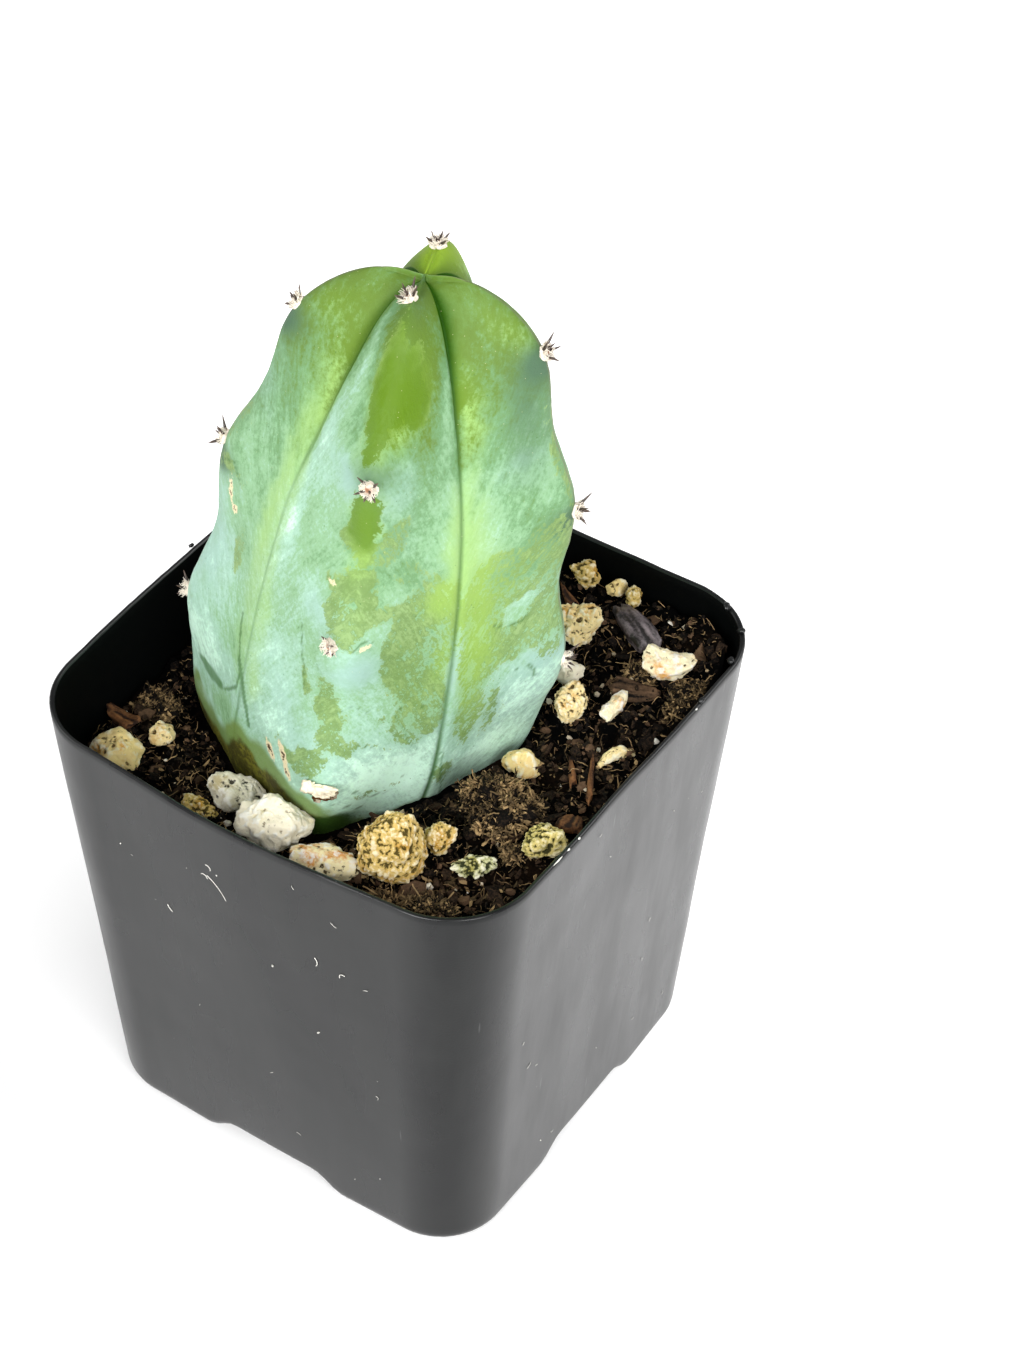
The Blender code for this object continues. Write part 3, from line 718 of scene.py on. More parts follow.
# Crushed pumice: gritty and matt, from chalk white to iron-stained gold and algae-green.
WHITE_PUMICE = Pumice(
    "white_pumice", body="#fdf5da", tip="#fffdf0", warm="#efe2b8", hollow_dark="#8d7f60", warmth=0.4, hollow_darkness=-0.02
)
GREY_PUMICE = Pumice("grey_pumice", body="#f0ebd2", tip="#fffdf0", warm="#c2b58a", hollow_dark="#2c2a20")
CREAM_PUMICE = Pumice(
    "cream_pumice", body="#fbe4a6", tip="#fff7d8", warm="#dba650", hollow_dark="#463416", hollow_darkness=0.55
)
HONEY_PUMICE = Pumice(
    "honey_pumice", body="#fbe09a", tip="#fff6d6", warm="#e2a850", hollow_dark="#5a4420", warmth=0.55, hollow_darkness=0.12
)
BLUSHED_PUMICE = Pumice("blushed_pumice", body="#fff3cc", warm="#e8ac58", hollow_darkness=0.15)
RUSTY_PUMICE = Pumice("rusty_pumice", body="#fff0bf", warm="#dc9440", hollow_dark="#4a3818", hollow_darkness=0.25)
GOLD_PUMICE = Pumice(
    "golden_pumice", body="#dcbd6e", tip="#fff2cc", warm="#cd9d42", hollow_dark="#4a3f18", hollow_darkness=0.85
)
OLIVE_PUMICE = Pumice(
    "olive_pumice", body="#dcc97a", tip="#f6ebbe", warm="#a8923c", hollow_dark="#2c2e12",
    hollow_darkness=0.95, mossiness=0.4,
)
MOSSY_PUMICE = Pumice(
    "mossy_pumice", body="#c9c892", tip="#fbf7dc", warm="#a39a4a", hollow_dark="#1e2510",
    hollow_darkness=1.2, mossiness=0.95,
)


# ------------------------------------------------------------------------- stem


@dataclass(frozen=True)
class Patch:
    """An oval on the skin: its middle in ribs and height, half sizes, turn in degrees and amount."""

    rib: float
    height: float
    half_width: float
    half_height: float
    turn: float = 0.0
    amount: float = 1.0

    def radius(self, rib: Array, height: Array, pitch_mm: float) -> Array:
        """Distance from its middle, in half sizes: 1 on its edge."""
        across = (rib - self.rib) * pitch_mm
        up = height - self.height
        c, s = math.cos(math.radians(self.turn)), math.sin(math.radians(self.turn))
        return np.hypot((c * across + s * up) / self.half_width, (c * up - s * across) / self.half_height)


def ovals(*rows: tuple) -> tuple[Patch, ...]:
    """Patches from rows of their numbers, in the order of the class."""
    return tuple(Patch(*row) for row in rows)


# Millimetres inside an oval or a line, where a place is far from all of them.
FAR_OUTSIDE = -9.0

# Places where the bloom is rubbed off, in ribs round and millimetres up the stem.
RUBBED = ovals(
    (-0.04, 114, 2.2, 5.4), (0.06, 113.2, 3, 4, -30), (0.17, 111, 2.6, 2, -35), (-0.03, 109.2, 1.7, 2.6),
    (-0.015, 99.6, 1.8, 3.8), (-0.06, 97, 1.7, 1.9), (0.01, 95.6, 1.3, 2), (0.01, 92.2, 2.2, 2.1, 20),
    (0.05, 89.6, 1.3, 2.2, 12), (0.14, 87.6, 2.2, 0.6, -35), (-0.07, 88.4, 0.8, 2.4, 8),
    (-0.10, 91.6, 0.6, 0.5), (0.22, 92, 1.8, 0.35, -30), (0.20, 91, 1.6, 0.3, -30), (0.725, 67, 0.8, 3.2),
    (0.30, 85.4, 3.8, 3.4, -10), (0.25, 80.4, 3.2, 5, 10), (0.33, 77, 3.4, 5), (-0.04, 76.2, 1.2, 3.4),
    (-0.01, 71.6, 1.1, 2.4), (0.06, 70.2, 1.9, 0.8, -25), (0.14, 69, 1.4, 0.22, -25),
    (-0.14, 76, 0.5, 1.7, 14), (-0.06, 68, 1.7, 1.1, 20), (-0.12, 66, 2.2, 0.9), (0.18, 61.4, 1.2, 0.5),
    (0.27, 60.6, 0.6, 0.3), (0.19, 72, 0.5, 0.5), (0.56, 59.2, 1.3, 1.8), (-0.90, 91.5, 1.9, 0.45, -12),
)

# Broader places where it is worn through in patches.
MOTTLED = ovals(
    (0.57, 81, 1.5, 7), (0.32, 82, 5.2, 8.4), (0.36, 71, 3.4, 4.4, 12), (0.63, 79.5, 3, 8.4),
    (0.74, 86.2, 4.6, 4.6, 20), (0.90, 87.4, 3.4, 4.8), (0.93, 78, 2, 5.6), (0.80, 76.4, 4.4, 1.8, 18),
    (0.98, 98.6, 0.7, 5.6), (0.62, 68.6, 1.6, 5.2), (-0.99, 97, 1.6, 3.2), (-0.76, 83, 1, 2.4),
    (0.10, 96, 1.6, 3, -40), (-0.02, 89.6, 2, 4),
)

# Corky scars: pale torn skin with a brown middle.
SCARS = ovals(
    (-0.87, 88.8, 0.32, 1.5, 14), (-0.83, 87, 0.5, 0.6), (-0.243, 64, 0.62, 1.3, 40),
    (-0.170, 65.4, 0.55, 1.5, 38), (-0.135, 63.6, 0.45, 0.9, 38), (0.065, 84.6, 0.55, 0.4),
    (-0.10, 91.1, 0.45, 0.3),
)

# Small dark green nicks.
NICKS = ovals(
    (-0.765, 63.4, 3.1, 0.95, 5), (0.37, 71.8, 0.3, 0.26), (0.26, 72.6, 0.2, 0.2),
    (0.20, 60.2, 1, 0.16, -14), (0.28, 59.4, 0.6, 0.14, -10), (0.12, 62.6, 0.3, 0.3),
    (0.155, 58.6, 0.5, 0.2, -20), (0.10, 60, 0.3, 0.2), (0.05, 61.4, 0.3, 0.14, -20),
    (0.33, 61.4, 0.2, 0.2), (0.81, 72.2, 0.2, 0.2),
)

# Dark green veins and cuts: half width, then ribs and heights along each.
VEINS = (
    (0.22, ((-0.605, 76.5), (-0.57, 72.5), (-0.53, 69), (-0.54, 66.6), (-0.63, 64))),
    (0.40, ((-0.55, 70.4), (-0.50, 68), (-0.45, 66), (-0.40, 63.6))),
    (0.10, ((-0.20, 84), (-0.18, 80), (-0.15, 77.6), (-0.145, 75.4))),
    (0.12, ((0.02, 84.6), (0.05, 85.6), (0.09, 85.2))),
    (0.08, ((0.08, 70.2), (0.13, 69.3), (0.17, 68.4))),
    (0.18, ((0.85, 72.3), (0.87, 71.3), (0.88, 70.2))),
    (0.10, ((0.70, 79.6), (0.76, 78.7), (0.83, 78.4), (0.86, 79.2))),
    (0.14, ((0.52, 63), (0.535, 60), (0.57, 57), (0.60, 54))),
    (0.12, ((-0.95, 91.4), (-0.88, 92.2), (-0.83, 90.6))),
    (0.08, ((0.24, 72), (0.30, 69), (0.38, 65))),
    (0.07, ((-0.02, 74.6), (0.05, 75.2), (0.12, 74))),
)

# Soft washes of thicker or thinner bloom.
BLOOM = ovals(
    (0.12, 112.5, 3.4, 4, -30, -0.35), (0.28, 64, 5, 5, 0, 0.16), (-0.34, 76, 3, 5, 0, 0.22),
    (-0.25, 113.5, 2.2, 6, 0, 0.55), (-0.36, 105, 2.2, 5.5, 0, 0.52), (-0.43, 93, 2.1, 8, 0, 0.42),
    (-0.20, 102, 4, 5, 30, 0.30), (0.42, 110, 1.6, 4.5, 0, 0.34), (0.38, 103, 2.8, 9, 0, 0.10),
    (0.12, 102, 4, 3, 0, 0.10), (-0.58, 90, 1.8, 8, 0, 0.16), (-0.16, 88, 2.6, 3, 0, 0.14),
    (0.60, 93, 3, 6, 0, 0.10), (0.82, 107, 6, 8, 0, -0.06), (0.60, 108, 4, 6, 0, -0.22),
    (0.22, 106, 5, 8, 0, -0.22), (0.20, 92, 4, 4, 0, -0.16), (-0.80, 106, 6, 6, 0, -0.12),
    (-0.94, 88, 3, 4, 0, 0.14), (-0.86, 80, 5, 5, 0, 0.12), (0.85, 82.4, 2.4, 2.2, 35, 0.30),
    (0.14, 67, 3, 4, 0, 0.20), (0.28, 62, 5, 4, 0, 0.25), (0.88, 67, 5, 5, 0, 0.34),
    (-0.25, 68, 3, 2.4, 0, 0.20), (-0.86, 67, 6, 4, 0, 0.45), (2.2, 84, 9, 12, 0, 0.25),
    (1.6, 92, 4, 9, 0, 0.25), (2.6, 104, 5, 7, 0, 0.30), (-0.70, 86, 3.4, 9, 0, -0.16),
    (-0.62, 71, 3, 4, 0, -0.20), (0.34, 72, 5, 6, 10, -0.10), (0.64, 72, 4, 8, 0, -0.10),
    (0.90, 92, 4, 5, 0, -0.20), (0.74, 86, 5, 5, 0, -0.16), (-0.62, 60, 7, 4, 0, -0.55),
    (1.4, 76, 5, 8, 0, -0.30), (2.9, 88, 5, 8, 0, -0.25),
)

# Soft washes of yellower skin.
LIME = ovals(
    (-0.02, 113, 3, 7, 0, 0.9), (0.14, 112, 3.6, 4, -35, 0.9), (-0.01, 99, 2.4, 6, 0, 0.8),
    (-0.62, 112, 4, 6, 0, 0.6), (-0.58, 102, 3, 6, 0, 0.5), (-0.58, 90, 2.4, 9, 0, 0.75),
    (-0.43, 80, 2, 7, 0, 0.5), (-0.46, 93, 1.5, 9, 0, 0.45), (-0.50, 109, 1.8, 6, 0, 0.95),
    (-0.55, 74, 2.4, 9, 0, 0.5), (0.74, 84, 5, 9, 0, 0.35), (-0.42, 70, 1.6, 4, 0, 0.6),
    (0.58, 108, 2.4, 5, 0, 0.9), (0.56, 94, 3, 9, 0, 0.6), (0.45, 92, 2.4, 8, 0, 0.5),
    (0.38, 87, 3.4, 2.8, 0, 0.6), (0.45, 78, 2.6, 6, 0, 0.4), (0.60, 78, 2.6, 9, 0, 0.7),
    (0.90, 115, 3.4, 3, 0, 0.8), (-0.84, 116, 4, 3, 0, 0.6), (0.66, 66, 3, 4, 0, 0.3),
    (1.9, 116, 6, 4, 0, 0.6), (1.5, 100, 3, 12, 0, 0.5), (2.5, 96, 3, 12, 0, 0.5),
)

# Where the flesh under the bloom is a darker blue-green, with painted shade by the right rib's areoles.
TEAL = ovals(
    (0.88, 107, 3.6, 6, 0, 0.45), (0.82, 100, 3.6, 5, 0, 0.30),
)

# Soft washes of bluish bloom.
BLUE = ovals(
    (-0.96, 79, 5, 11, 0, 0.7), (0.05, 81, 3.2, 3.6, 0, 0.9), (-0.10, 87, 3, 2.6, 0, 0.7),
    (-0.13, 103.6, 2.6, 2, 0, 0.8), (0.10, 103, 4, 3.4, 0, 0.5), (0.16, 96, 3, 4, 0, 0.3),
    (-0.12, 70, 5, 4, 0, 0.5), (0.12, 65, 5, 4, 0, 0.6), (0.90, 67, 6, 5, 0, 0.8), (0.92, 73, 3, 2, 0, 0.7),
    (0.515, 76, 0.9, 7, 0, 0.8), (-0.36, 74, 5, 5, 0, 0.3), (0.80, 100, 5, 2.4, 20, 0.4),
    (-0.94, 102, 4, 4, 0, 0.3), (2.1, 74, 9, 9, 0, 0.6),
)


def cover(patches: tuple, rib: Array, height: Array, pitch_mm: float) -> Array:
    """How far inside the nearest oval each place lies: (1 - its radius in ovals) x half size.

    Args:
        patches: the ovals.
        rib: places round the stem, in ribs.
        height: places up the stem.
        pitch_mm: length of one rib round the stem.

    Returns:
        Millimetres inside, or outside where negative.
    """
    best = np.full(rib.shape, FAR_OUTSIDE)
    for patch in patches:
        inside = (1 - patch.radius(rib, height, pitch_mm)) * min(patch.half_width, patch.half_height)
        best = np.maximum(best, inside)
    return best


def trace(lines: tuple, rib: Array, height: Array, pitch_mm: float) -> Array:
    """How far inside the nearest line each place lies: half width - distance to its segments."""
    best = np.full(rib.shape, FAR_OUTSIDE)
    for half_width, corners in lines:
        for (rib_0, low), (rib_1, high) in zip(corners, corners[1:]):
            along = np.array([(rib_1 - rib_0) * pitch_mm, high - low])
            x, y = (rib - rib_0) * pitch_mm, height - low
            share = np.clip((x * along[0] + y * along[1]) / (along @ along), 0, 1)
            gap = np.hypot(x - share * along[0], y - share * along[1])
            best = np.maximum(best, half_width - gap)
    return best


def wash(patches: tuple, rib: Array, height: Array, pitch_mm: float) -> Array:
    """Sum of the ovals' amounts, each fading as exp(-radius^2)."""
    return sum(patch.amount * np.exp(-(patch.radius(rib, height, pitch_mm) ** 2)) for patch in patches)


def curve(value: Array, knots: tuple) -> Array:
    """Straight lines from knot to knot, each one a value and what it gives."""
    return np.interp(value, *zip(*knots))


@dataclass(frozen=True)
class Fold:
    """Painted shade in the dark fold beside the top of the front rib, drawn by height.

    Its edge is in ribs. From its lead before the edge it fades in up to the softness past
    it, and then out over the width, all in millimetres.
    """

    side: int
    softness: float
    edge: tuple
    width: tuple
    strength: tuple
    lead: float = 0.3

    def amount(self, rib: Array, height: Array, pitch_mm: float) -> Array:
        """The fold's strength at each place."""
        away = self.side * (rib - curve(height, self.edge)) * pitch_mm
        fade = np.exp(-((np.maximum(away, 0) / curve(height, self.width)) ** 2))
        return curve(height, self.strength) * ramp(away, -self.lead, self.softness) * fade


FOLDS = (
    Fold(
        side=-1,
        softness=0.15,
        edge=((98, -0.485), (103, -0.455), (108, -0.432), (114, -0.405), (119, -0.41)),
        width=((98, 0.5), (104, 1.4), (110, 2.6), (117, 4)),
        strength=((97, 0), (102, 0.3), (108, 0.42), (113, 0.75), (117, 0.95)),
    ),
    Fold(
        side=1,
        softness=0.1,
        edge=((104, 0.5), (109, 0.497), (112, 0.485), (115, 0.447), (118, 0.41)),
        width=((98, 0.3), (106, 0.6), (112, 1.5), (115, 3.2), (118, 6)),
        strength=((96, 0), (103, 0.35), (110, 0.6), (114, 1)),
    ),
)

# Amount of bloom at each height, thickest at the foot and painted paler there as light.
BLOOM_AND_LIGHT_BY_HEIGHT = (
    (58, 1.3), (64, 1.06), (70, 0.92), (76, 0.85), (88, 0.78), (100, 0.6), (107, 0.42), (112, 0.22),
    (118, 0),
)

# Painted shade, darker blue-green, round the areoles: rib, height, half width and amount.
AREOLE_SHADES = ((0.0, 104.2, 2.6, 0.42), (0.0, 119.0, 12.0, 0.22)) + tuple(
    (side, height, 3.2, 0.95) for side in (-1.0, 1.0) for height in (90.1, 110.2)
)

# Height of the corky foot's upper edge round the stem, by rib.
CORK_LINE = (
    (-1.1, 56.2), (-0.6, 57.4), (-0.45, 60.6), (-0.2, 61.2), (-0.05, 60.8), (0.08, 58.4), (0.3, 56),
    (1.1, 54),
)


@dataclass
class Marks:
    """Soft masks on the skin, which its material reads, at many places.

    Places are in ribs round the stem and millimetres up it. The hidden side repeats the
    marks of the seen side, half a round on, but has no cuts. Noise sways the places, which
    makes the ovals' edges ragged. The pitch is the length of one rib round the stem.
    """

    stem: "Stem"
    rib: Array
    height: Array
    points: Array
    pitch: float = 27.0
    hidden_from: float = 1.1
    growth_slope: float = 1.6
    sway_across: tuple = ((0.55, 3.2, 3), (0.4, 1.1, 5))
    sway_up: tuple = ((0.7, 3.2, 7), (0.4, 1.1, 9))
    mottled_below: float = 0.24
    whole_above: float = 0.46
    mottled_broad: float = 0.12
    dome: float = 10.0
    full_span: float = 12.0
    rib_gap: float = 40
    line_stretch: float = 0.2
    crease_width: float = 0.42
    edge_width: float = 0.3
    young_width: float = 8.0
    shade_width: float = 4.6

    def __post_init__(self) -> None:
        """Turn the hidden side onto the seen one, and sway the places."""
        self.behind = self.rib > self.hidden_from
        self.rib = np.where(self.behind, self.rib - 2.0, self.rib)
        self.off = np.abs(self.rib - np.round(self.rib)) * self.pitch
        self.wave = grains(self.points, *self.sway_across) / self.pitch
        self.lift = grains(self.points, *self.sway_up)
        self.swayed = (self.rib + self.wave, self.height + self.lift, self.pitch)

    def teal(self) -> Array:
        """Blue-green flesh with painted shade round the areoles, most of it below them."""
        amount = wash(TEAL, *self.swayed)
        for rib, height, half_width, strength in AREOLE_SHADES:
            close = Patch(rib, height + 1.2, half_width, 2.0, amount=strength)
            wide = Patch(rib + 0.04, height - 1.0, 9.0, 5.5, amount=0.22 * ramp(height, 70.0, 104.0))
            amount = amount + wash((close, wide), self.rib, self.height, self.pitch)
        return amount

    def rubbed(self) -> Array:
        """Bare skin: whole in the high ovals, and mottled in the low and the broad ones."""
        whole = self.mottled_below + self.whole_above * ramp(self.height, 88.0, 90.0)
        patches = np.clip(cover(RUBBED, *self.swayed), -2, whole)
        return np.maximum(patches, np.clip(cover(MOTTLED, *self.swayed), -2, self.mottled_broad))

    def creased(self) -> Array:
        """Thin painted shade down each groove, and the real veins, cuts and nicks of the seen side."""
        from_groove = 0.5 * self.pitch - self.off
        crease = np.exp(-((from_groove / self.crease_width) ** 2)) * np.where(self.rib < 0, 0.4, 0.62)
        crease *= 1 + 0.5 * ramp(self.height, 70.0, 60.0)
        veins = trace(VEINS, self.rib + 0.35 * self.wave, self.height + 0.3 * self.lift, self.pitch)
        nicks = cover(NICKS, self.rib + 0.2 * self.wave, self.height, self.pitch)
        cuts = 0.7 * ramp(np.maximum(veins, nicks), -0.2, 0.12)
        return np.maximum(crease, np.where(self.behind, 0.0, cuts))

    def foot(self) -> tuple[Array, Array]:
        """Cork round the foot, and painted shade, dark green, between it and the soil at the front."""
        level = self.height + 1.4 * grain(self.points, 5.0, 21)
        line = curve(self.rib, CORK_LINE)
        pale = ramp(level, line + 2.8, line + 0.2) * ramp(self.rib, 0.14, -0.04)
        shade = ramp(level, 59.8, 57.0) * np.exp(-((self.rib * self.pitch / self.shade_width) ** 2))
        return pale + ramp(level, line + 0.4, line - 2.6), shade

    def streaks(self) -> tuple[Array, Array]:
        """Places across and along the growth lines, which fall from the crests to the grooves.

        The lines draw together over the dome at the top, and each rib has lines of its own.
        """
        from_axis = np.linalg.norm((self.points - self.stem.axis(self.height))[..., :2], axis=-1)
        span = self.off * np.minimum(from_axis / self.full_span, 1.0)
        climb = self.height + np.maximum(self.dome - from_axis, 0.0)
        size = math.hypot(1.0, self.growth_slope)
        apart = self.rib_gap * np.floor(self.rib + 0.5)
        across = (climb + self.growth_slope * span) / size + apart
        return across, self.line_stretch * (span - self.growth_slope * climb) / size

    def masks(self) -> dict[str, Array]:
        """Every mask by name."""
        rib, height = self.rib, self.height
        # The hidden crests are young at their tops: limier, with less bloom.
        lobe = self.behind * ramp(height, 112.0, 118.0)
        lime = wash(LIME, *self.swayed) + 1.2 * lobe
        # Painted shade in the folds beside the top of the front rib; it also thins the bloom there.
        deep = sum(fold.amount(rib, height, self.pitch) for fold in FOLDS)
        # The bloom thickens towards the foot, where it is partly painted light.
        bloom = curve(height, BLOOM_AND_LIGHT_BY_HEIGHT) + wash(BLOOM, *self.swayed)
        bloom += 0.10 * ramp(height, 100.0, 108.0) * (np.abs(rib) < 0.5)
        bloom -= 0.4 * lobe + 1.1 * deep
        ripe = np.clip(lime, 0, 1) * ramp(height, 93.0, 98.0) * (np.abs(rib) < 0.4)
        cork, shade = self.foot()
        across, along = self.streaks()
        return {
            "bloom": bloom,
            "blue": wash(BLUE, *self.swayed),
            "lime": lime,
            "teal": np.clip(self.teal(), 0, 1),
            "rub": self.rubbed(),
            "crease": np.clip(self.creased(), 0, 1),
            "edge": np.exp(-((self.off / self.edge_width) ** 2)) * (np.abs(rib) > 0.6),
            "cork": cork,
            "deep": np.clip(deep, 0, 1),
            "young": lobe * np.exp(-((self.off / self.young_width) ** 2)),
            "ripe": ripe * (1 - 0.2 * ramp(height, 111.0, 115.0)),
            "shade": shade,
            "scar": np.clip(0.42 + 1.1 * cover(SCARS, rib, height, self.pitch), 0, 1),
            "across": across,
            "along": along,
        }


@dataclass
class Stem:
    """The ribbed stem: a skin round a leaning axis."""

    ribs: int = 4
    front_azimuth: float = -71.1
    front_shift: float = 3.0
    widest: float = 62.0
    crest_top: float = 120.2
    crest_radius: float = 21.5
    crest_power: float = 0.38
    groove_radius: float = 15.8
    groove_top: float = 119.5
    groove_power: float = 0.56
    face_bulge: float = 0.05
    low_face_hollow: float = 0.012
    upper: tuple = (92.0, 110.0)
    rounded: tuple = (109.0, 118.0)
    side_rounding: float = 0.2
    areole_swell: float = 0.8
    swell_fade: float = 8.0
    soil_line: float = 50.0
    foot: float = 42.0
    foot_radius: float = 11.0
    foot_spread: float = 5.5
    foot_curve: float = 0.02
    foot_rows: tuple = (0.0, 0.05, 0.35, 0.7)
    root: tuple = (-4.4, -2.1)
    tip: tuple = (3.2, 0.9)
    lean_start: float = 54.0
    lean_bow: tuple = (0.42, 0.27)
    dip: float = 0.7
    dip_width: float = 2.6
    crest_rounding: float = 0.1
    top_rounding: float = 0.4
    uneven: tuple = ((0.09, 5.0, 11), (0.03, 1.3, 13))
    crease_depth: float = 0.32
    crease_width: float = 0.5
    crease_fade: float = 6.0
    left_crease: float = 0.25
    filled_groove: float = 1.0
    front_back_areoles: tuple = (65.0, 85.4, 105.2, 119.6)
    side_areoles: tuple = (70.2, 92.2, 112.9)
    seen_reach: float = 1.12
    seen_columns: int = 220
    hidden_columns: int = 70
    low_rows: int = 26
    rows: int = 190

    def axis(self, height: Array) -> Array:
        """Middle of the stem: a straight lean plus a bow of 4t(1 - t)."""
        share = (height - self.lean_start) / (self.crest_top - self.lean_start)
        bow = np.where(share > 0, 4 * share * (1 - share), 0.0)
        sides = [self.root[i] + (self.tip[i] - self.root[i]) * share + self.lean_bow[i] * bow for i in (0, 1)]
        return np.stack([*sides, height], axis=-1)

    def dome(self, height: Array, radius: float, top: float, power: float) -> Array:
        """Outline (1 - t^2)^power that closes at its top, and draws in below the widest height."""
        low = radius - self.foot_curve * (self.widest - height) ** 2 * radius / self.crest_radius
        share = (height - self.widest) / (top - self.widest)
        return np.where(height <= self.widest, low, radius * np.maximum(1 - share**2, 0.0) ** power)

    def swell(self, height: Array, areoles: tuple) -> Array:
        """1 at an areole and -1 halfway to the next one, as a cosine."""
        marks = np.array(areoles)
        phase = np.interp(height, marks, np.arange(len(marks)))
        pitch = marks[1] - marks[0]
        outside = np.where(height < marks[0], marks[0] - height, np.maximum(height - marks[-1], 0.0))
        return np.cos(TAU * (phase + np.minimum(outside / pitch, 0.5)))

    def crest(self, height: Array, rib: Array) -> Array:
        """Distance of a rib's crest from the axis."""
        plain = self.dome(height, self.crest_radius, self.crest_top, self.crest_power)
        sides = self.swell(height, self.side_areoles)
        front_back = self.swell(height, self.front_back_areoles)
        waves = np.where(np.round(rib).astype(int) % 2 == 1, sides, front_back)
        return np.maximum(plain + self.areole_swell * waves * np.minimum(plain / self.swell_fade, 1.0), 0.0)

    def radius(self, height: Array, rib: Array) -> Array:
        """Distance of the skin from the axis: a face from crest to groove, bent round at the crest.

        Higher up the faces bulge, the grooves are cut deeper, and the front and back
        crests are rounder. Low on the left face the crease in the groove is shallower.
        """
        off = np.abs(rib - np.round(rib)) * TAU / self.ribs
        half_rib = math.pi / self.ribs
        even = np.round(rib).astype(int) % 2 == 0
        upper = ramp(height, *self.upper)
        top = ramp(height, *self.rounded) * np.where(even, 1.0, self.side_rounding)
        soft = self.crest_rounding + (self.top_rounding - self.crest_rounding) * top
        bent = np.hypot(off, soft) - soft
        half = np.hypot(half_rib, soft) - soft
        crest = self.crest(height, rib)
        groove = self.dome(height, self.groove_radius, self.groove_top, self.groove_power)
        groove = np.minimum(groove + self.filled_groove * (1 - upper), crest)
        slope = (crest / np.maximum(groove, 0.05) - np.cos(half)) / np.sin(half)
        face = crest / (np.cos(bent) + slope * np.sin(bent))
        bulge = self.face_bulge * upper - self.low_face_hollow * (1 - upper)
        radius = face + bulge * crest * np.sin(math.pi * np.minimum(bent / half, 1.0))
        away = (half_rib - off) * radius
        left = (rib > -1.0) & (rib < 0.0)
        cut = np.where(left, self.left_crease + (1 - self.left_crease) * upper, 1.0)
        depth = self.crease_depth * cut * np.minimum(radius / self.crease_fade, 1.0)
        return np.maximum(radius - depth * np.exp(-((away / self.crease_width) ** 2)), 0.0)

    def direction(self, rib: Array) -> Array:
        """Horizontal unit vector towards a place round the stem."""
        near = np.round(rib)
        share = 1 - 2 * np.abs(rib - near)
        shift = np.where(near.astype(int) % self.ribs == 0, self.front_shift * share, 0.0)
        turned = np.radians(self.front_azimuth + shift) + rib * TAU / self.ribs
        return np.stack([np.cos(turned), np.sin(turned), np.zeros_like(turned)], axis=-1)

    def point(self, height: Array, rib: Array) -> Array:
        """A point of the skin; the growth point is sunk between the crests."""
        radius = self.radius(height, rib)
        dip = self.dip * np.exp(-((radius / self.dip_width) ** 2))
        spot = self.axis(height) + self.direction(rib) * radius[..., None]
        spot[..., 2] -= dip
        return spot

    def clearance(self, x: Array, y: Array, height: float = 57.5) -> Array:
        """Horizontal distance from the skin at one height; negative inside."""
        middle = self.axis(np.array(height))
        turned = np.arctan2(y - middle[1], x - middle[0]) - math.radians(self.front_azimuth)
        rib = turned * self.ribs / TAU
        rib = rib - self.ribs * np.round(rib / self.ribs)
        return np.hypot(x - middle[0], y - middle[1]) - self.radius(np.full(x.shape, height), rib)

    def seat(self, rib: float, height: float) -> tuple[Array, Array]:
        """One spot on the skin, and the matrix of its ways across, up and out."""
        spots = np.array([height - 0.5, height + 0.5, height, height, height])
        around = np.array([rib, rib, rib - 0.03, rib + 0.03, rib])
        low, high, left, right, middle = self.point(spots, around)
        across = (right - left) / np.linalg.norm(right - left)
        out = np.cross(across, high - low)
        out /= np.linalg.norm(out)
        return middle, np.stack([across, np.cross(out, across), out], axis=1)

    def build(self) -> None:
        """Lay the skin as a grid of heights and ribs, closed at the foot and the growth point."""
        seen = np.linspace(-self.seen_reach, self.seen_reach, self.seen_columns, endpoint=False)
        last = self.ribs - self.seen_reach
        hidden = np.linspace(self.seen_reach, last, self.hidden_columns, endpoint=False)
        around = np.concatenate([seen, hidden])
        low = np.linspace(self.soil_line, self.widest, self.low_rows)[:-1]
        rise = np.sin(math.pi / 2 * np.linspace(0, 1, self.rows)[:-1])
        heights = np.concatenate([low, self.widest + (self.crest_top - self.widest) * rise])
        height, rib = np.meshgrid(heights, around, indexing="ij")
        skin = self.point(height, rib)
        skin += self.direction(rib) * grains(skin, *self.uneven)[..., None]
        share = np.array(self.foot_rows)[:, None]
        foot_height = self.foot + (self.soil_line - self.foot) * share + 0 * around
        foot_radius = self.foot_radius + self.foot_spread * np.sqrt(share) + 0 * around
        foot = self.axis(foot_height) + self.direction(around + 0 * share) * foot_radius[..., None]
        grid = np.concatenate([foot, skin])
        top = self.axis(np.array(self.crest_top)) - np.array([0, 0, self.dip])
        surface = closed(grid, self.axis(np.array(self.foot)), top)
        all_rib = np.concatenate([np.tile(around, len(grid)), [0.0, 0.0]])
        all_height = np.concatenate([foot_height.ravel(), height.ravel(), [self.foot, self.crest_top]])
        surface.values = Marks(self, all_rib, all_height, surface.points).masks()
        place("myrtle_cactus_stem", [surface], [SKIN.material()], "cactus_skin", ("cactus_stem",))


# ---------------------------------------------------------------------- areoles


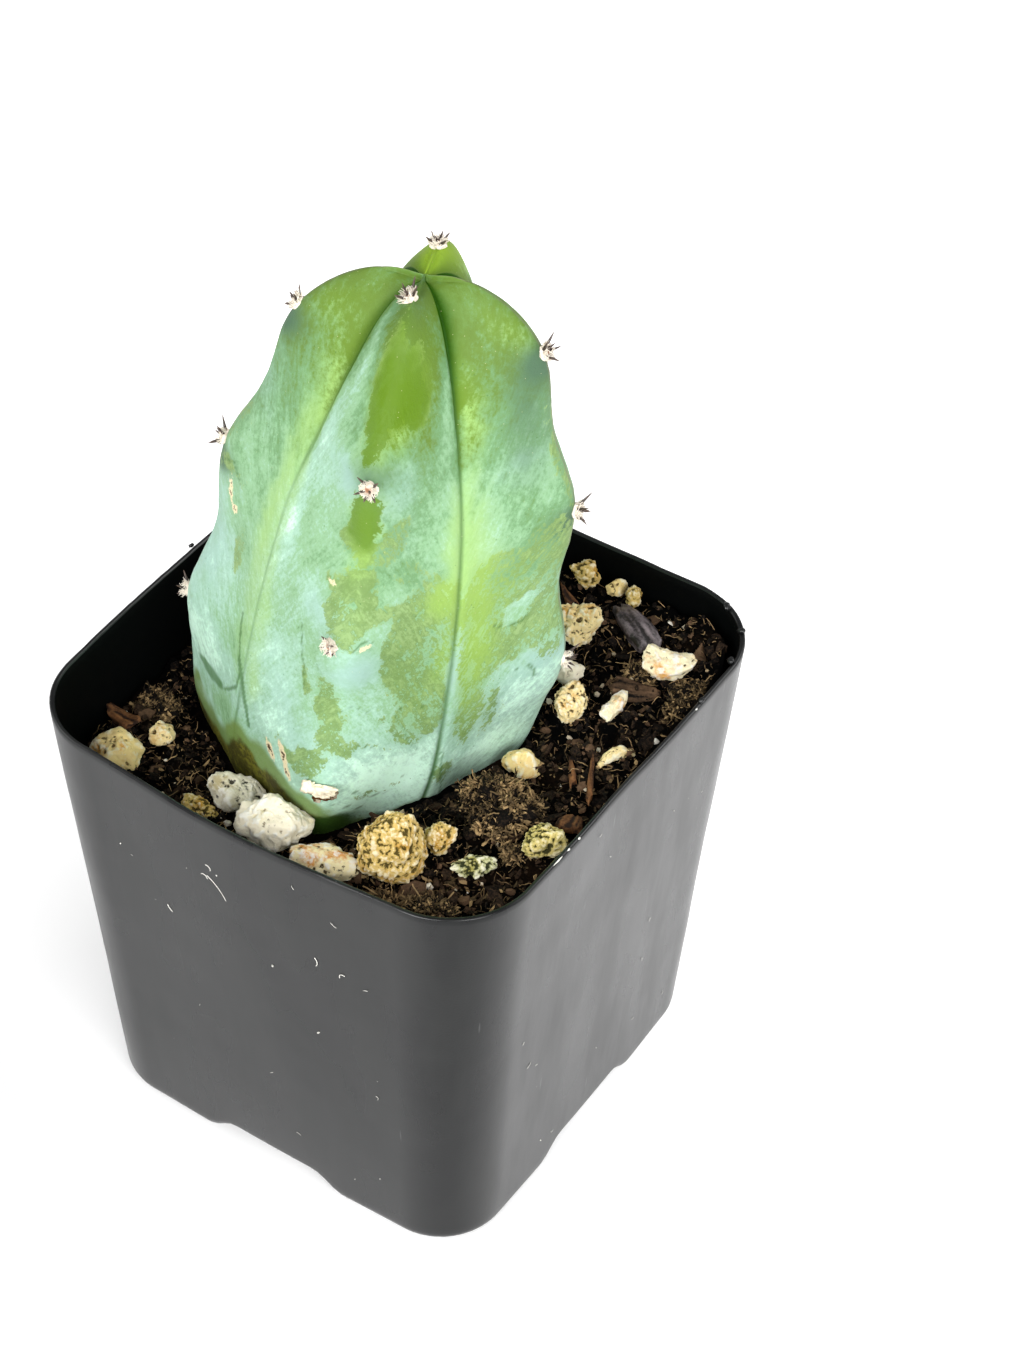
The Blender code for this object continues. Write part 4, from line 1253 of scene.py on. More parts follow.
@dataclass
class Areole:
    """Wool on a crest and the short spines that stand in it."""

    stem: Stem
    rib: float
    height: float
    name: str
    seed: int
    withered: bool = False
    cushion: float = 0.85
    cushion_height: float = 0.5
    hairs: int = 105
    hair_length: float = 0.72
    hair_radius: float = 0.085
    hair_sides: int = 3
    spine_length: float = 1.7
    spine_radius: float = 0.19
    spine_tip: float = 0.025
    spine_sides: int = 6
    spine_leans: tuple = ((-0.7, 0.85), (0.7, 0.85), (-0.75, -0.55), (0.8, -0.5), (0.05, -0.9), (0.1, 0.1))
    spine_lengths: tuple = (1.0, 1.0, 0.8, 0.85, 0.7, 0.55)

    def ball(self) -> Surface:
        """A lumpy cushion with a dark middle on top."""
        made = sphere(14, 24)
        made.points *= 1 + 0.22 * grain(made.points, 0.5, self.seed)[:, None]
        from_middle = np.hypot(made.points[:, 0], made.points[:, 1])
        made.values["tone"] = 0.75 + 0.3 * grain(made.points, 0.35, self.seed + 3)
        made.values["tone"] -= 0.8 * np.exp(-((from_middle / 0.45) ** 2)) * (made.points[:, 2] > 0)
        made.points *= np.array([self.cushion, self.cushion, self.cushion_height])
        return made

    def wool(self, draw: Draw) -> Surface:
        """Curled hairs that lean out of the cushion."""
        count = self.hairs
        angle = TAU * draw.random((count, 1))
        reach = np.sqrt(draw.uniform(0.25, 1.0, (count, 1)))
        lean = draw.uniform(0.5, 1.25, (count, 1))
        length = self.hair_length * draw.uniform(0.6, 1.2, (count, 1))
        curl = draw.uniform(-1.6, 1.6, (count, 1))
        step = np.linspace(0, 1, 5)[None, :]
        heading = angle + curl * step
        run = length * step
        root = reach * self.cushion * 0.85
        x = root * np.cos(angle) + run * np.sin(lean) * np.cos(heading)
        y = root * np.sin(angle) + run * np.sin(lean) * np.sin(heading)
        z = 0.1 + self.cushion_height * (1 - reach**2) + run * np.cos(lean)
        taper = self.hair_radius * (1.1 - 0.75 * step) * draw.uniform(0.7, 1.3, (count, 1))
        tones = draw.uniform(0.65, 1.0, (count, 1))
        return tubes(np.stack([x, y, z], axis=-1), taper, self.hair_sides, tones, tip=0.9)

    def spines(self, draw: Draw) -> Surface:
        """Short awls: two lean up, three lean down and one stands out."""
        leans = np.array(self.spine_leans)
        count = len(leans)
        leans = leans + draw.uniform(-0.22, 0.22, leans.shape)
        length = self.spine_length * np.array(self.spine_lengths) * draw.uniform(0.8, 1.15, count)
        way = unit(np.concatenate([leans, np.ones((count, 1))], axis=1))
        root = np.concatenate([0.42 * leans, np.full((count, 1), 0.2)], axis=1)
        step = np.linspace(0, 1, 7)[None, :, None]
        paths = root[:, None] + way[:, None] * (length + 0.3)[:, None, None] * step
        paths[..., 1] += 0.12 * (step[..., 0] ** 2)
        thick = self.spine_radius * (1 - step[..., 0]) ** 0.7 + self.spine_tip
        tones = 0.15 + 0.75 * step[..., 0] ** 3
        made = tubes(paths, np.repeat(thick, count, axis=0), self.spine_sides, tones, tip=0.0)
        made.finish = 1
        return made

    def chip(self) -> list[Surface]:
        """What is left of an old areole: papery white flakes over brown crumbs."""
        parts = []
        for size, at, tone, seed in FLAKES:
            flake = sphere(26, 40)
            ragged = 1 + grains(flake.points, (0.4, 0.8, seed), (0.2, 0.25, seed + 1))
            flake.points = flake.points * ragged[:, None] * np.array(size) + np.array(at)
            flake.values["tone"] = tone + 0.5 * grain(flake.points, 0.7, seed + 2)
            parts.append(flake)
        return parts

    def build(self) -> None:
        """Seat the wool and spines on the skin."""
        draw = np.random.default_rng(self.seed)
        parts = self.chip() if self.withered else [self.ball(), self.wool(draw), self.spines(draw)]
        middle, ways = self.stem.seat(self.rib, self.height)
        for part in parts:
            part.points = part.points @ ways.T + middle
        finishes = [(WITHERED if self.withered else FELT).material(), SPINE.material()]
        place("wool_and_spines_" + self.name, parts, finishes, "felt_and_spines", ("areole_" + self.name,))


FIRST_AREOLE_SEED = 100

# Half sizes, places, tones and seeds of a withered areole's two flakes and three crumbs.
FLAKES = (
    ((1.5, 0.8, 0.6), (0.3, 0.5, 0.35), 0.7, 77),
    ((0.8, 0.8, 0.6), (-1.2, 0.7, 0.4), 0.7, 80),
    ((0.9, 0.5, 0.5), (0.4, -0.4, 0.35), -0.1, 83),
    ((0.5, 0.6, 0.5), (-0.3, -0.9, 0.3), 0.1, 86),
    ((0.5, 0.4, 0.5), (1.5, 0.1, 0.3), 0.0, 89),
)

# Ribs round, millimetres up and spine length of the areoles on each rib, from the lowest up.
AREOLES = {
    "front": ((0.0, 64.5, 0.5), (-0.045, 84.8, 0.7), (-0.01, 104.2, 1.3), (-0.07, 119.45, 1.5)),
    "right": ((1.0, 70.0, 1.7), (1.0, 91.8, 1.8), (1.0, 112.2, 1.7)),
    "back": ((2.0, 65.0, 1.7), (2.0, 85.0, 1.7), (2.0, 104.6, 1.8), (2.0, 119.65, 1.3)),
    "left": ((-1.0, 69.6, 1.2), (-1.0, 93.0, 1.8), (-1.0, 113.1, 1.2)),
}


# -------------------------------------------------------------------------- pot


@dataclass
class Pot:
    """The thin square shell with its bowed sides, rounded foot and cross channel.

    The flat half is half the flat width of a wall, to turn lengths along it into shares.
    """

    height: float = 63.4
    rim_half: float = 31.75
    base_half: float = 27.4
    rim_corner: float = 10.85
    base_corner: float = 8.6
    rim_bow: tuple = (0.2, 0.0, 0.75, 1.15)
    base_bow: float = 0.3
    bow_power: float = 1.3
    flat_half: float = 21.0
    wall: float = 0.7
    floor: float = 0.8
    foot_rounding: float = 2.2
    stiff_foot: tuple = (4.0, 24.0)
    broad_dents: tuple = (0.16, 17.0, 31, 2)
    small_dents: tuple = (0.02, 4.0, 33, 2)
    rim_band: float = 1.5
    rim_waves: tuple = (0.05, 1.6, 35)
    centre: tuple = (0.275, 0.575)
    channel_height: float = 2.6
    channel_top: float = 6.3
    channel_foot: float = 9.8
    channel_fade: float = 13.0
    channel_rounding: float = 0.4
    hole_radius: float = 2.0
    hole_reach: float = 6.0
    hole_spacing: float = 14.0
    side_columns: int = 34
    corner_columns: int = 18
    floor_rows: int = 22
    outer_rows: int = 64
    inner_rows: int = 44
    soil_half: float = 20.3
    soil_corner: float = 9.0
    specks: int = 44
    lint: int = 36

    def sizes(self, share: Array) -> tuple[Array, Array]:
        """Half width and corner radius at a share of the height."""
        half = self.base_half + (self.rim_half - self.base_half) * share
        return half, self.base_corner + (self.rim_corner - self.base_corner) * share

    def outline(self, height: Array, inset: Array, shrink: Array | float = 1.0) -> Array:
        """Plan points round the wall: bowed sides joined by arcs.

        Args:
            height: (rows,) heights.
            inset: (rows,) distances in from the outer wall.
            shrink: (rows,) scale towards the middle, for floors.

        Returns:
            (rows, columns, 3) points.
        """
        share = (np.asarray(height, float) / self.height)[:, None]
        inset = np.asarray(inset, float)[:, None]
        half, corner = self.sizes(share)
        half, corner = half - inset, np.maximum(corner - inset, 0.5)
        straight = half - corner
        along = np.linspace(-1, 1, self.side_columns, endpoint=False)[None, :]
        angle = np.linspace(0, math.pi / 2, self.corner_columns, endpoint=False)[None, :]
        quarters = []
        for number, bow in enumerate(self.rim_bow):
            bowed = self.base_bow + (bow - self.base_bow) * share
            bulged = half + bowed * (1 - along**2) ** self.bow_power
            x = np.hstack([bulged, straight + corner * np.cos(angle)])
            y = np.hstack([along * straight, straight + corner * np.sin(angle)])
            c, s = round(math.cos(number * math.pi / 2)), round(math.sin(number * math.pi / 2))
            quarters.append(np.stack([c * x - s * y, s * x + c * y], axis=-1))
        plan = np.concatenate(quarters, axis=1) * np.reshape(shrink, (-1, 1, 1)) + np.array(self.centre)
        rise = np.broadcast_to(np.asarray(height, float)[:, None, None], plan.shape[:2] + (1,))
        return np.concatenate([plan, rise], axis=-1)

    def lifted(self, points: Array, base: float) -> Array:
        """Raise the points over the cross channel, fading out up the wall."""
        away = np.abs(points[..., :2] - np.array(self.centre))
        soft = self.channel_rounding
        roof = ramp(away, self.channel_foot + soft, self.channel_top - soft).max(axis=-1)
        fade = np.clip(1 - (points[..., 2] - base) / self.channel_fade, 0, 1) ** 2
        moved = points.copy()
        moved[..., 2] += self.channel_height * roof * fade
        return moved

    def skin(self, inset: float, base: float, rows: int) -> Array:
        """Rings of one side of the shell, from the middle of its floor up to the rim."""
        rounding = self.foot_rounding
        angle = np.radians(np.linspace(0, 90, 9))
        lift = rounding * (1 - np.cos(angle))
        narrow = rounding * (1 - np.sin(angle))
        low = self.outline(base + lift, inset + narrow)
        level = np.ones(self.floor_rows)
        shrink = np.linspace(0.06, 0.97, self.floor_rows)
        floor = self.outline(base * level, (inset + rounding) * level, shrink)
        up = base + rounding + (self.height - base - rounding) * np.linspace(0, 1, rows)[1:]
        wall = self.outline(up, np.full(len(up), inset))
        return self.lifted(np.concatenate([floor, low, wall]), base)

    def dented(self, grid: Array) -> Array:
        """The sheet with shallow dents in its upper walls and a slightly ragged rim."""
        soft = ramp(grid[..., 2], *self.stiff_foot)[..., None]
        way = unit((grid - np.array([*self.centre, 0.0])) * np.array([1, 1, 0]), TINY)
        flat = grid * np.array([1.0, 1.0, 0.55])
        dents = grains(flat, self.broad_dents) + grains(grid, self.small_dents)
        grid = grid + way * soft * dents[..., None]
        at_rim = grid[..., 2] > self.height - self.rim_band
        grid[..., 2] += grains(grid * np.array([1, 1, 0.0]), self.rim_waves) * at_rim
        return grid

    def shell(self) -> Surface:
        """Outer skin, rounded rim and inner skin in one closed sheet; the inside has painted shade."""
        outer = self.skin(0.0, 0.0, self.outer_rows)[:-1]
        inner = self.skin(self.wall, self.floor, self.inner_rows)[::-1]
        turn = np.radians(np.linspace(20, 160, 5))
        half = self.wall / 2
        rim = self.outline(self.height - half + half * np.sin(turn), half - half * np.cos(turn))
        grid = self.dented(np.concatenate([outer, rim, inner[1:]]))
        middle = np.array([*self.centre, self.channel_height])
        shell = closed(grid, middle, middle + np.array([0, 0, self.floor]))
        arc = np.sin(math.pi * (np.arange(self.corner_columns) + 0.5) / self.corner_columns) ** 1.5
        quarter = np.concatenate([np.zeros(self.side_columns), arc])
        shell.values["corner"] = np.concatenate([np.tile(quarter, 4 * len(grid)), [0.0, 0.0]])
        # Faces inside the pot take the second material, which paints their shade.
        inside = np.repeat(np.arange(len(grid) - 1) > len(outer) + 3, grid.shape[1])
        ends = np.repeat([False, True], grid.shape[1])
        shell.finish = np.concatenate([inside, ends]).astype(int)
        return shell

    def drained(self, piece: bpy.types.Object) -> None:
        """Cut the drain holes with a Boolean modifier and keep its result."""
        step = self.hole_spacing
        for x, y in ((0, 0), (step, 0), (-step, 0), (0, step), (0, -step)):
            bore = sphere(3, 24)
            bore.points[:, :2] /= np.maximum(np.linalg.norm(bore.points[:, :2], axis=1, keepdims=True), 1e-6)
            bore.points[-2:, :2] = 0
            bore.points *= np.array([self.hole_radius, self.hole_radius, self.hole_reach])
            bore.points += np.array([self.centre[0] + x, self.centre[1] + y, 0])
            mesh = bpy.data.meshes.new("bore")
            mesh.from_pydata((bore.points * MM).tolist(), [], bore.quads.tolist() + bore.tris.tolist())
            cutter = in_scene("bore", mesh)
            modifier = piece.modifiers.new("drain", "BOOLEAN")
            modifier.operation = "DIFFERENCE"
            modifier.object = cutter
            with bpy.context.temp_override(object=piece):
                bpy.ops.object.modifier_apply(modifier=modifier.name)
            bpy.data.objects.remove(cutter, do_unlink=True)

    def flash(self) -> Surface:
        """Torn mould flash on the rim: small dark lumps, half of them on the far left side."""
        at = (
            (-31.6, 20.6, 0.75), (-31.9, 14.0, 0.6), (-31.9, 15.0, 0.45), (-32.1, 3.0, 0.3),
            (31.2, 22.6, 0.5), (29.6, 27.6, 0.45), (26.0, 30.4, 0.5), (31.9, 15.0, 0.4),
        )
        lump = sphere(7, 10)
        lump.points *= 1 + 0.35 * grain(lump.points, 0.7, 51)[:, None]
        places = np.array([(x, y, self.height + 0.15) for x, y, _ in at])
        sizes = np.array([(0.9 * s, 1.2 * s, 0.8 * s) for _, _, s in at])
        turns = random_turns(len(at), np.random.default_rng(5))
        return copies(lump, places, sizes, turns, np.zeros(len(at)))

    def wall_point(self, side: Array, along: Array, height: Array, out: Array | float) -> Array:
        """Points on the outer wall: side 0 is +X, 3 is -Y; along is from -1 to 1."""
        side, along, height, out = np.broadcast_arrays(side, along, height, out)
        share = height / self.height
        half, corner = self.sizes(share)
        bowed = self.base_bow + (np.array(self.rim_bow)[side] - self.base_bow) * share
        x = half + bowed * np.maximum(1 - along**2, 0) ** self.bow_power + out
        y = along * (half - corner)
        c = np.cos(side * math.pi / 2)
        s = np.sin(side * math.pi / 2)
        plan = np.stack([c * x - s * y, s * x + c * y], axis=-1) + np.array(self.centre)
        return np.concatenate([plan, height[..., None]], axis=-1)

    def held(self, x: Array, y: Array) -> tuple[Array, Array]:
        """Draw plan points in to the rounded square that the soil fills."""
        across, along = x - self.centre[0], y - self.centre[1]
        over_x = np.maximum(np.abs(across) - self.soil_half, 0)
        over_y = np.maximum(np.abs(along) - self.soil_half, 0)
        share = np.minimum(1, self.soil_corner / np.maximum(np.hypot(over_x, over_y), 1e-6))
        across = np.sign(across) * (np.minimum(np.abs(across), self.soil_half) + over_x * share)
        along = np.sign(along) * (np.minimum(np.abs(along), self.soil_half) + over_y * share)
        return across + self.centre[0], along + self.centre[1]

    def hairs(self, side: Array, start: tuple, heading: Array, length: Array, thick: tuple,
              tone: float) -> Surface:
        """Hairs that cling to a wall.

        Args:
            side: the wall's number.
            start: (hairs, 1) places along the wall and heights.
            heading: (hairs, steps) angle of each step.
            length: (hairs, 1) lengths.
            thick: distance off the wall, radius and sides of the hairs.
            tone: their brightness.

        Returns:
            The hairs.
        """
        off_wall, radius, sides = thick
        steps = heading.shape[1]
        x = start[0] + np.cumsum(np.cos(heading), axis=1) * length / steps / self.flat_half
        z = start[1] + np.cumsum(np.sin(heading), axis=1) * length / steps
        return tubes(self.wall_point(side, x, z, off_wall), np.full(x.shape, radius), sides, tone)

    def dust(self) -> list[Surface]:
        """Grains of dust and short curls of lint that cling to the four walls, and the rim's white marks."""
        draw = np.random.default_rng(12)
        count = self.specks
        side = draw.integers(0, 4, count)
        along = draw.uniform(-0.98, 0.98, count)
        height = draw.uniform(4, 60, count)
        size = 0.12 * draw.uniform(0.3, 1.0, (count, 1)) ** 3 * draw.uniform(0.6, 1.5, (count, 3)) + 0.02
        places = self.wall_point(side, along, height, 0.03)
        specks = copies(sphere(3, 5), places, size, random_turns(count, draw), draw.uniform(0.2, 1.0, count))
        each = (self.lint, 1)
        side = draw.integers(0, 4, each)
        start = draw.uniform(-0.95, 0.95, each), draw.uniform(6, 60, each)
        length = draw.uniform(0.3, 1.1, each)
        heading = draw.uniform(0, TAU, each) + draw.uniform(-2.5, 2.5, each) * np.linspace(0, 1, 7)[None, :]
        lint = self.hairs(side, start, heading, length, (0.05, 0.03, 3), 0.6)
        # The rim's white marks are partly painted glints.
        return [specks, lint, self.long_lint(), self.scuffs()]

    def long_lint(self) -> Surface:
        """One long forked hair and a few bright curls on the front left wall."""
        along = np.array([-0.21, -0.20, -0.24, 0.50, 0.66, -0.55])[:, None]
        heights = np.array([53.8, 55.4, 53.2, 46.8, 46.6, 43.6])[:, None]
        headings = np.array([-0.5, 0.6, 1.2, 0.9, 2.2, -1.4])[:, None]
        lengths = np.array([4.2, 1.3, 1.4, 1.6, 1.4, 1.2])[:, None]
        curls = np.array([-0.7, -2.6, -2.8, 1.4, -2.6, 0.8])[:, None]
        heading = headings + curls * np.linspace(0, 1, 12)[None, :]
        return self.hairs(3, (along, heights), heading, lengths, (0.06, 0.045, 4), 0.95)

    def scuffs(self) -> Surface:
        """White marks along the rim's edge: knocks that show white, and painted glints."""
        along = np.array([-0.76, -0.66, -0.56, 0.62])[:, None]
        length = np.array([1.8, 0.5, 0.4, 0.4])[:, None]
        step = np.linspace(-0.5, 0.5, 9)[None, :]
        places = self.wall_point(0, along + length * step / self.flat_half, self.height, -0.05)
        thick = 0.1 * np.sqrt(np.maximum(1 - (2 * step) ** 2, 0.02)) * (1 + 0.4 * grain(places, 0.5, 15))
        return tubes(places, thick, 5, 0.9)

    def build(self) -> None:
        """Shell, rim flash and dust."""
        plastic = PLASTIC.material()
        inner_shade = SHADED_INNER_PLASTIC.material()
        shell = place("pot_shell", [self.shell()], [plastic, inner_shade], "pot_plastic", ("nursery_pot",))
        self.drained(shell)
        place("rim_flash", [self.flash()], [plastic], "pot_plastic")
        place("wall_dust_and_rim_glints", self.dust(), [DUST_AND_GLINTS.material()], "pot_plastic")


# ------------------------------------------------------------------------- soil


@dataclass
class Soil:
    """The fill, with the crumbs, flakes, fibres and grit that lie on it.

    Loose pieces land in a rounded square: edge is its half width, straight the half of
    its sides without the corners, and corner the corners' radius.
    """

    pot: Pot
    stem: Stem
    level: float = 56.2
    slope: tuple = (0.115, 0.03)
    bank: float = 0.9
    bank_reach: float = 30.0
    wave_height: float = 0.28
    wave_length: float = 3.6
    bumps: tuple = ((0.9, 3.4, 63), (0.7, 1.2, 65))
    clumps: tuple = ((0.28, 7.0, 83), (0.22, 2.0, 85))
    gap: float = 0.35
    rows: int = 88
    columns: tuple = (62, 26)
    hollow: float = 2.0
    hollow_reach: float = 3.0
    light_corner: tuple = (16, -26)
    light_reach: float = 14
    edge: float = 29.3
    straight: float = 20.0
    corner: float = 9.4
    clear_of_stem: float = 0.3
    crumbs: int = 4500
    clods: int = 420
    flakes: int = 5100
    grit: int = 260
    fibres: int = 2300
    roots: int = 90

    def height(self, x: Array, y: Array) -> Array:
        """A gentle slope, banked to two walls, with crossing sine waves."""
        plane = self.level + self.slope[0] * x + self.slope[1] * y + self.bank * (y / self.bank_reach) ** 2
        across, along = x / self.wave_length, y / self.wave_length
        waves = np.sin(across + np.sin(0.7 * along)) + np.sin(1.2 * along + np.sin(0.6 * across))
        return plane + self.wave_height * waves

    def relief(self, x: Array, y: Array) -> Array:
        """Clods and holes of the loose surface, and the hollow that rings the stem."""
        spot = np.stack([x, y, 0 * x], axis=-1)
        clod, _ = cells(spot, 2.4, 61)
        rough = grains(spot, *self.bumps) + 1.1 * (0.5 - clod) - 0.6
        near = np.exp(-((np.maximum(self.stem.clearance(x, y), 0.0) / self.hollow_reach) ** 2))
        return rough * (1 - 0.5 * near) - self.hollow * near

    def ground(self, x: Array, y: Array) -> Array:
        """Height of the visible surface."""
        return self.height(x, y) + self.relief(x, y)

    def shade(self, x: Array, y: Array) -> Array:
        """Tone of the mix, which changes from clump to clump and is lightest in one corner."""
        spot = np.stack([x, y, 0 * x], axis=-1)
        away = np.hypot(x - self.light_corner[0], y - self.light_corner[1])
        corner = np.exp(-(away / self.light_reach) ** 2)
        return 0.16 * corner - 0.04 + grains(spot, *self.clumps)

    def fill(self) -> Surface:
        """The fill's surface as rings that shrink to the middle, and its sides and floor."""
        fine = replace(self.pot, side_columns=self.columns[0], corner_columns=self.columns[1])
        inset = fine.wall + self.gap
        shares = np.linspace(0.985, 0.02, self.rows)
        rim = fine.outline(np.full(1, self.level), np.full(1, inset))[0]
        middle = np.array([*fine.centre, 0.0])
        top = middle + (rim - middle)[None] * shares[:, None, None]
        top[..., 2] = self.ground(top[..., 0], top[..., 1])
        side = fine.skin(inset, fine.floor + self.gap, 8)[::3]
        side = side[side[:, 0, 2] < self.level - 4]
        grid = np.concatenate([side, top])
        low = np.array([*fine.centre, fine.channel_height + fine.floor + self.gap])
        made = closed(grid, low, top[-1].mean(axis=0))
        # Nearly black tones: dark peat with painted shade in the gaps between the loose pieces.
        speck = 0.2 * grain(made.points, 0.9, 67)
        made.values["tone"] = 0.05 + speck + self.shade(made.points[:, 0], made.points[:, 1])
        return made

    def spots(self, count: int, draw: Draw) -> tuple[Array, Array]:
        """Random places inside the walls and outside the stem, as many as are found of count."""
        x, y = draw.uniform(-self.edge, self.edge, (2, count))
        over_x, over_y = (np.maximum(np.abs(way) - self.straight, 0) for way in (x, y))
        x, y = x + self.pot.centre[0], y + self.pot.centre[1]
        free = (np.hypot(over_x, over_y) < self.corner) & (self.stem.clearance(x, y) > self.clear_of_stem)
        return x[free], y[free]

    def scatter(self, count: int, sizes: tuple, flat: tuple, draw: Draw, tones: tuple,
                sink: float = 0.2, power: float = 3.0) -> Surface:
        """Copies of four rough lumps over the soil, small ones most of all; thin ones lie down.

        Args:
            count: how many are thrown; those that land outside the soil are left out.
            sizes: smallest and largest half size.
            flat: proportions of length, width and thickness.
            draw: source of random numbers.
            tones: lowest and highest tone.
            sink: how far the middle stands over the soil, in half sizes.
            power: larger draws more small ones.

        Returns:
            The lumps.
        """
        parts = []
        variants = 4
        thin = flat[2] < 0.6
        for variant in range(variants):
            lump = sphere(2, 6)
            lump.points *= 1 + 0.5 * grain(lump.points, 0.8, 71 + variant)[:, None]
            if thin:
                lump.points[:, 2] += 1.2 * lump.points[:, 0] ** 2
            x, y = self.spots(count // variants, draw)
            number = len(x)
            size = sizes[0] + (sizes[1] - sizes[0]) * draw.random(number) ** power
            shape = size[:, None] * np.array(flat) * draw.uniform(0.7, 1.3, (number, 3))
            places = np.stack([x, y, self.ground(x, y) + sink * size], axis=-1)
            turns = random_turns(number, draw)
            if thin:
                turns = lying_turns(number, draw)
            tone = tones[0] + (tones[1] - tones[0]) * draw.random(number) ** 5 + 0.5 * self.shade(x, y)
            parts.append(copies(lump, places, shape, turns, np.clip(tone, 0, 1)))
        return joined(parts)[0]

    def threads(self, count: int, length: tuple, radius: tuple, draw: Draw,
                tones: tuple) -> Surface:
        """Bent fibres that lie on the soil and arch a little over it."""
        x, y = self.spots(count, draw)
        number, steps = len(x), 6
        step = np.linspace(0, 1, steps)[None, :]
        long = draw.uniform(*length, (number, 1)) * draw.uniform(0.4, 1.0, (number, 1))
        heading = draw.uniform(0, TAU, (number, 1)) + draw.normal(0, 1.1, (number, 1)) * step
        run_x = x[:, None] + np.cumsum(np.cos(heading), axis=1) * long / steps
        run_y = y[:, None] + np.cumsum(np.sin(heading), axis=1) * long / steps
        near = self.stem.clearance(run_x, run_y).min(axis=1) < 0.2
        run_x[near], run_y[near] = x[near, None], y[near, None]
        run_x, run_y = self.pot.held(run_x, run_y)
        base = self.ground(run_x, run_y).mean(axis=1, keepdims=True)
        tilt = draw.normal(0, 0.3, (number, 1)) * long * (step - 0.5)
        arch = draw.uniform(0.0, 0.35, (number, 1)) * long * 4 * step * (1 - step)
        z = base + 0.12 + tilt + 0.4 * arch + 0.15 * draw.normal(size=(number, steps))
        thick = draw.uniform(*radius, (number, 1)) * (1 - 0.5 * np.abs(2 * step - 1))
        tone = tones[0] + (tones[1] - tones[0]) * draw.random((number, 1)) ** 1.8
        return tubes(np.stack([run_x, run_y, z], axis=-1), thick, 3, tone)

    def build(self) -> None:
        """The fill and what lies on it."""
        draw = np.random.default_rng(8)
        place("soil_fill", [self.fill()], [PEAT_AND_GAP_SHADE.material()], "soil", ("potting_soil",))
        crumbs = [
            self.scatter(self.crumbs, (0.16, 0.75), (1.0, 0.85, 0.7), draw, (0.0, 0.8)),
            self.scatter(self.clods, (0.4, 1.5), (1.4, 0.7, 0.3), draw, (0.0, 0.8), 0.15, 2.0),
        ]
        flakes = [self.scatter(self.flakes, (0.12, 0.62), (1.0, 0.42, 0.22), draw, (0.0, 1.0), 0.5, 2.4)]
        place("moss_flakes", flakes, [MOSS.material()], "soil", smooth=False)
        place("peat_crumbs", crumbs, [CRUMB.material()], "soil", smooth=False)
        grit = [self.scatter(self.grit, (0.12, 0.5), (1.0, 0.9, 0.8), draw, (0.2, 1.0), 0.6)]
        place("perlite_grit", grit, [GRIT.material()], "pumice_white", smooth=False)
        threads = [
            self.threads(self.fibres, (1.0, 4.0), (0.03, 0.1), draw, (0.0, 0.9)),
            self.threads(self.roots, (2.0, 6.0), (0.04, 0.08), draw, (0.8, 1.0)),
        ]
        place("peat_fibres", threads, [FIBRE.material()], "wood")


# ----------------------------------------------------------------------- stones


def middle_of(node: str) -> Array:
    """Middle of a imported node's box, in millimetres."""
    low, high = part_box(node)
    return np.array((low + high) / 2) / MM


class Habit(Enum):
    """How a piece of pumice broke: its planes' sharpness, and its lumps and grains in mm."""

    ROUNDED = (8.0, 0.48, 0.12)
    GRANULAR = (14.0, 0.36, 0.30)


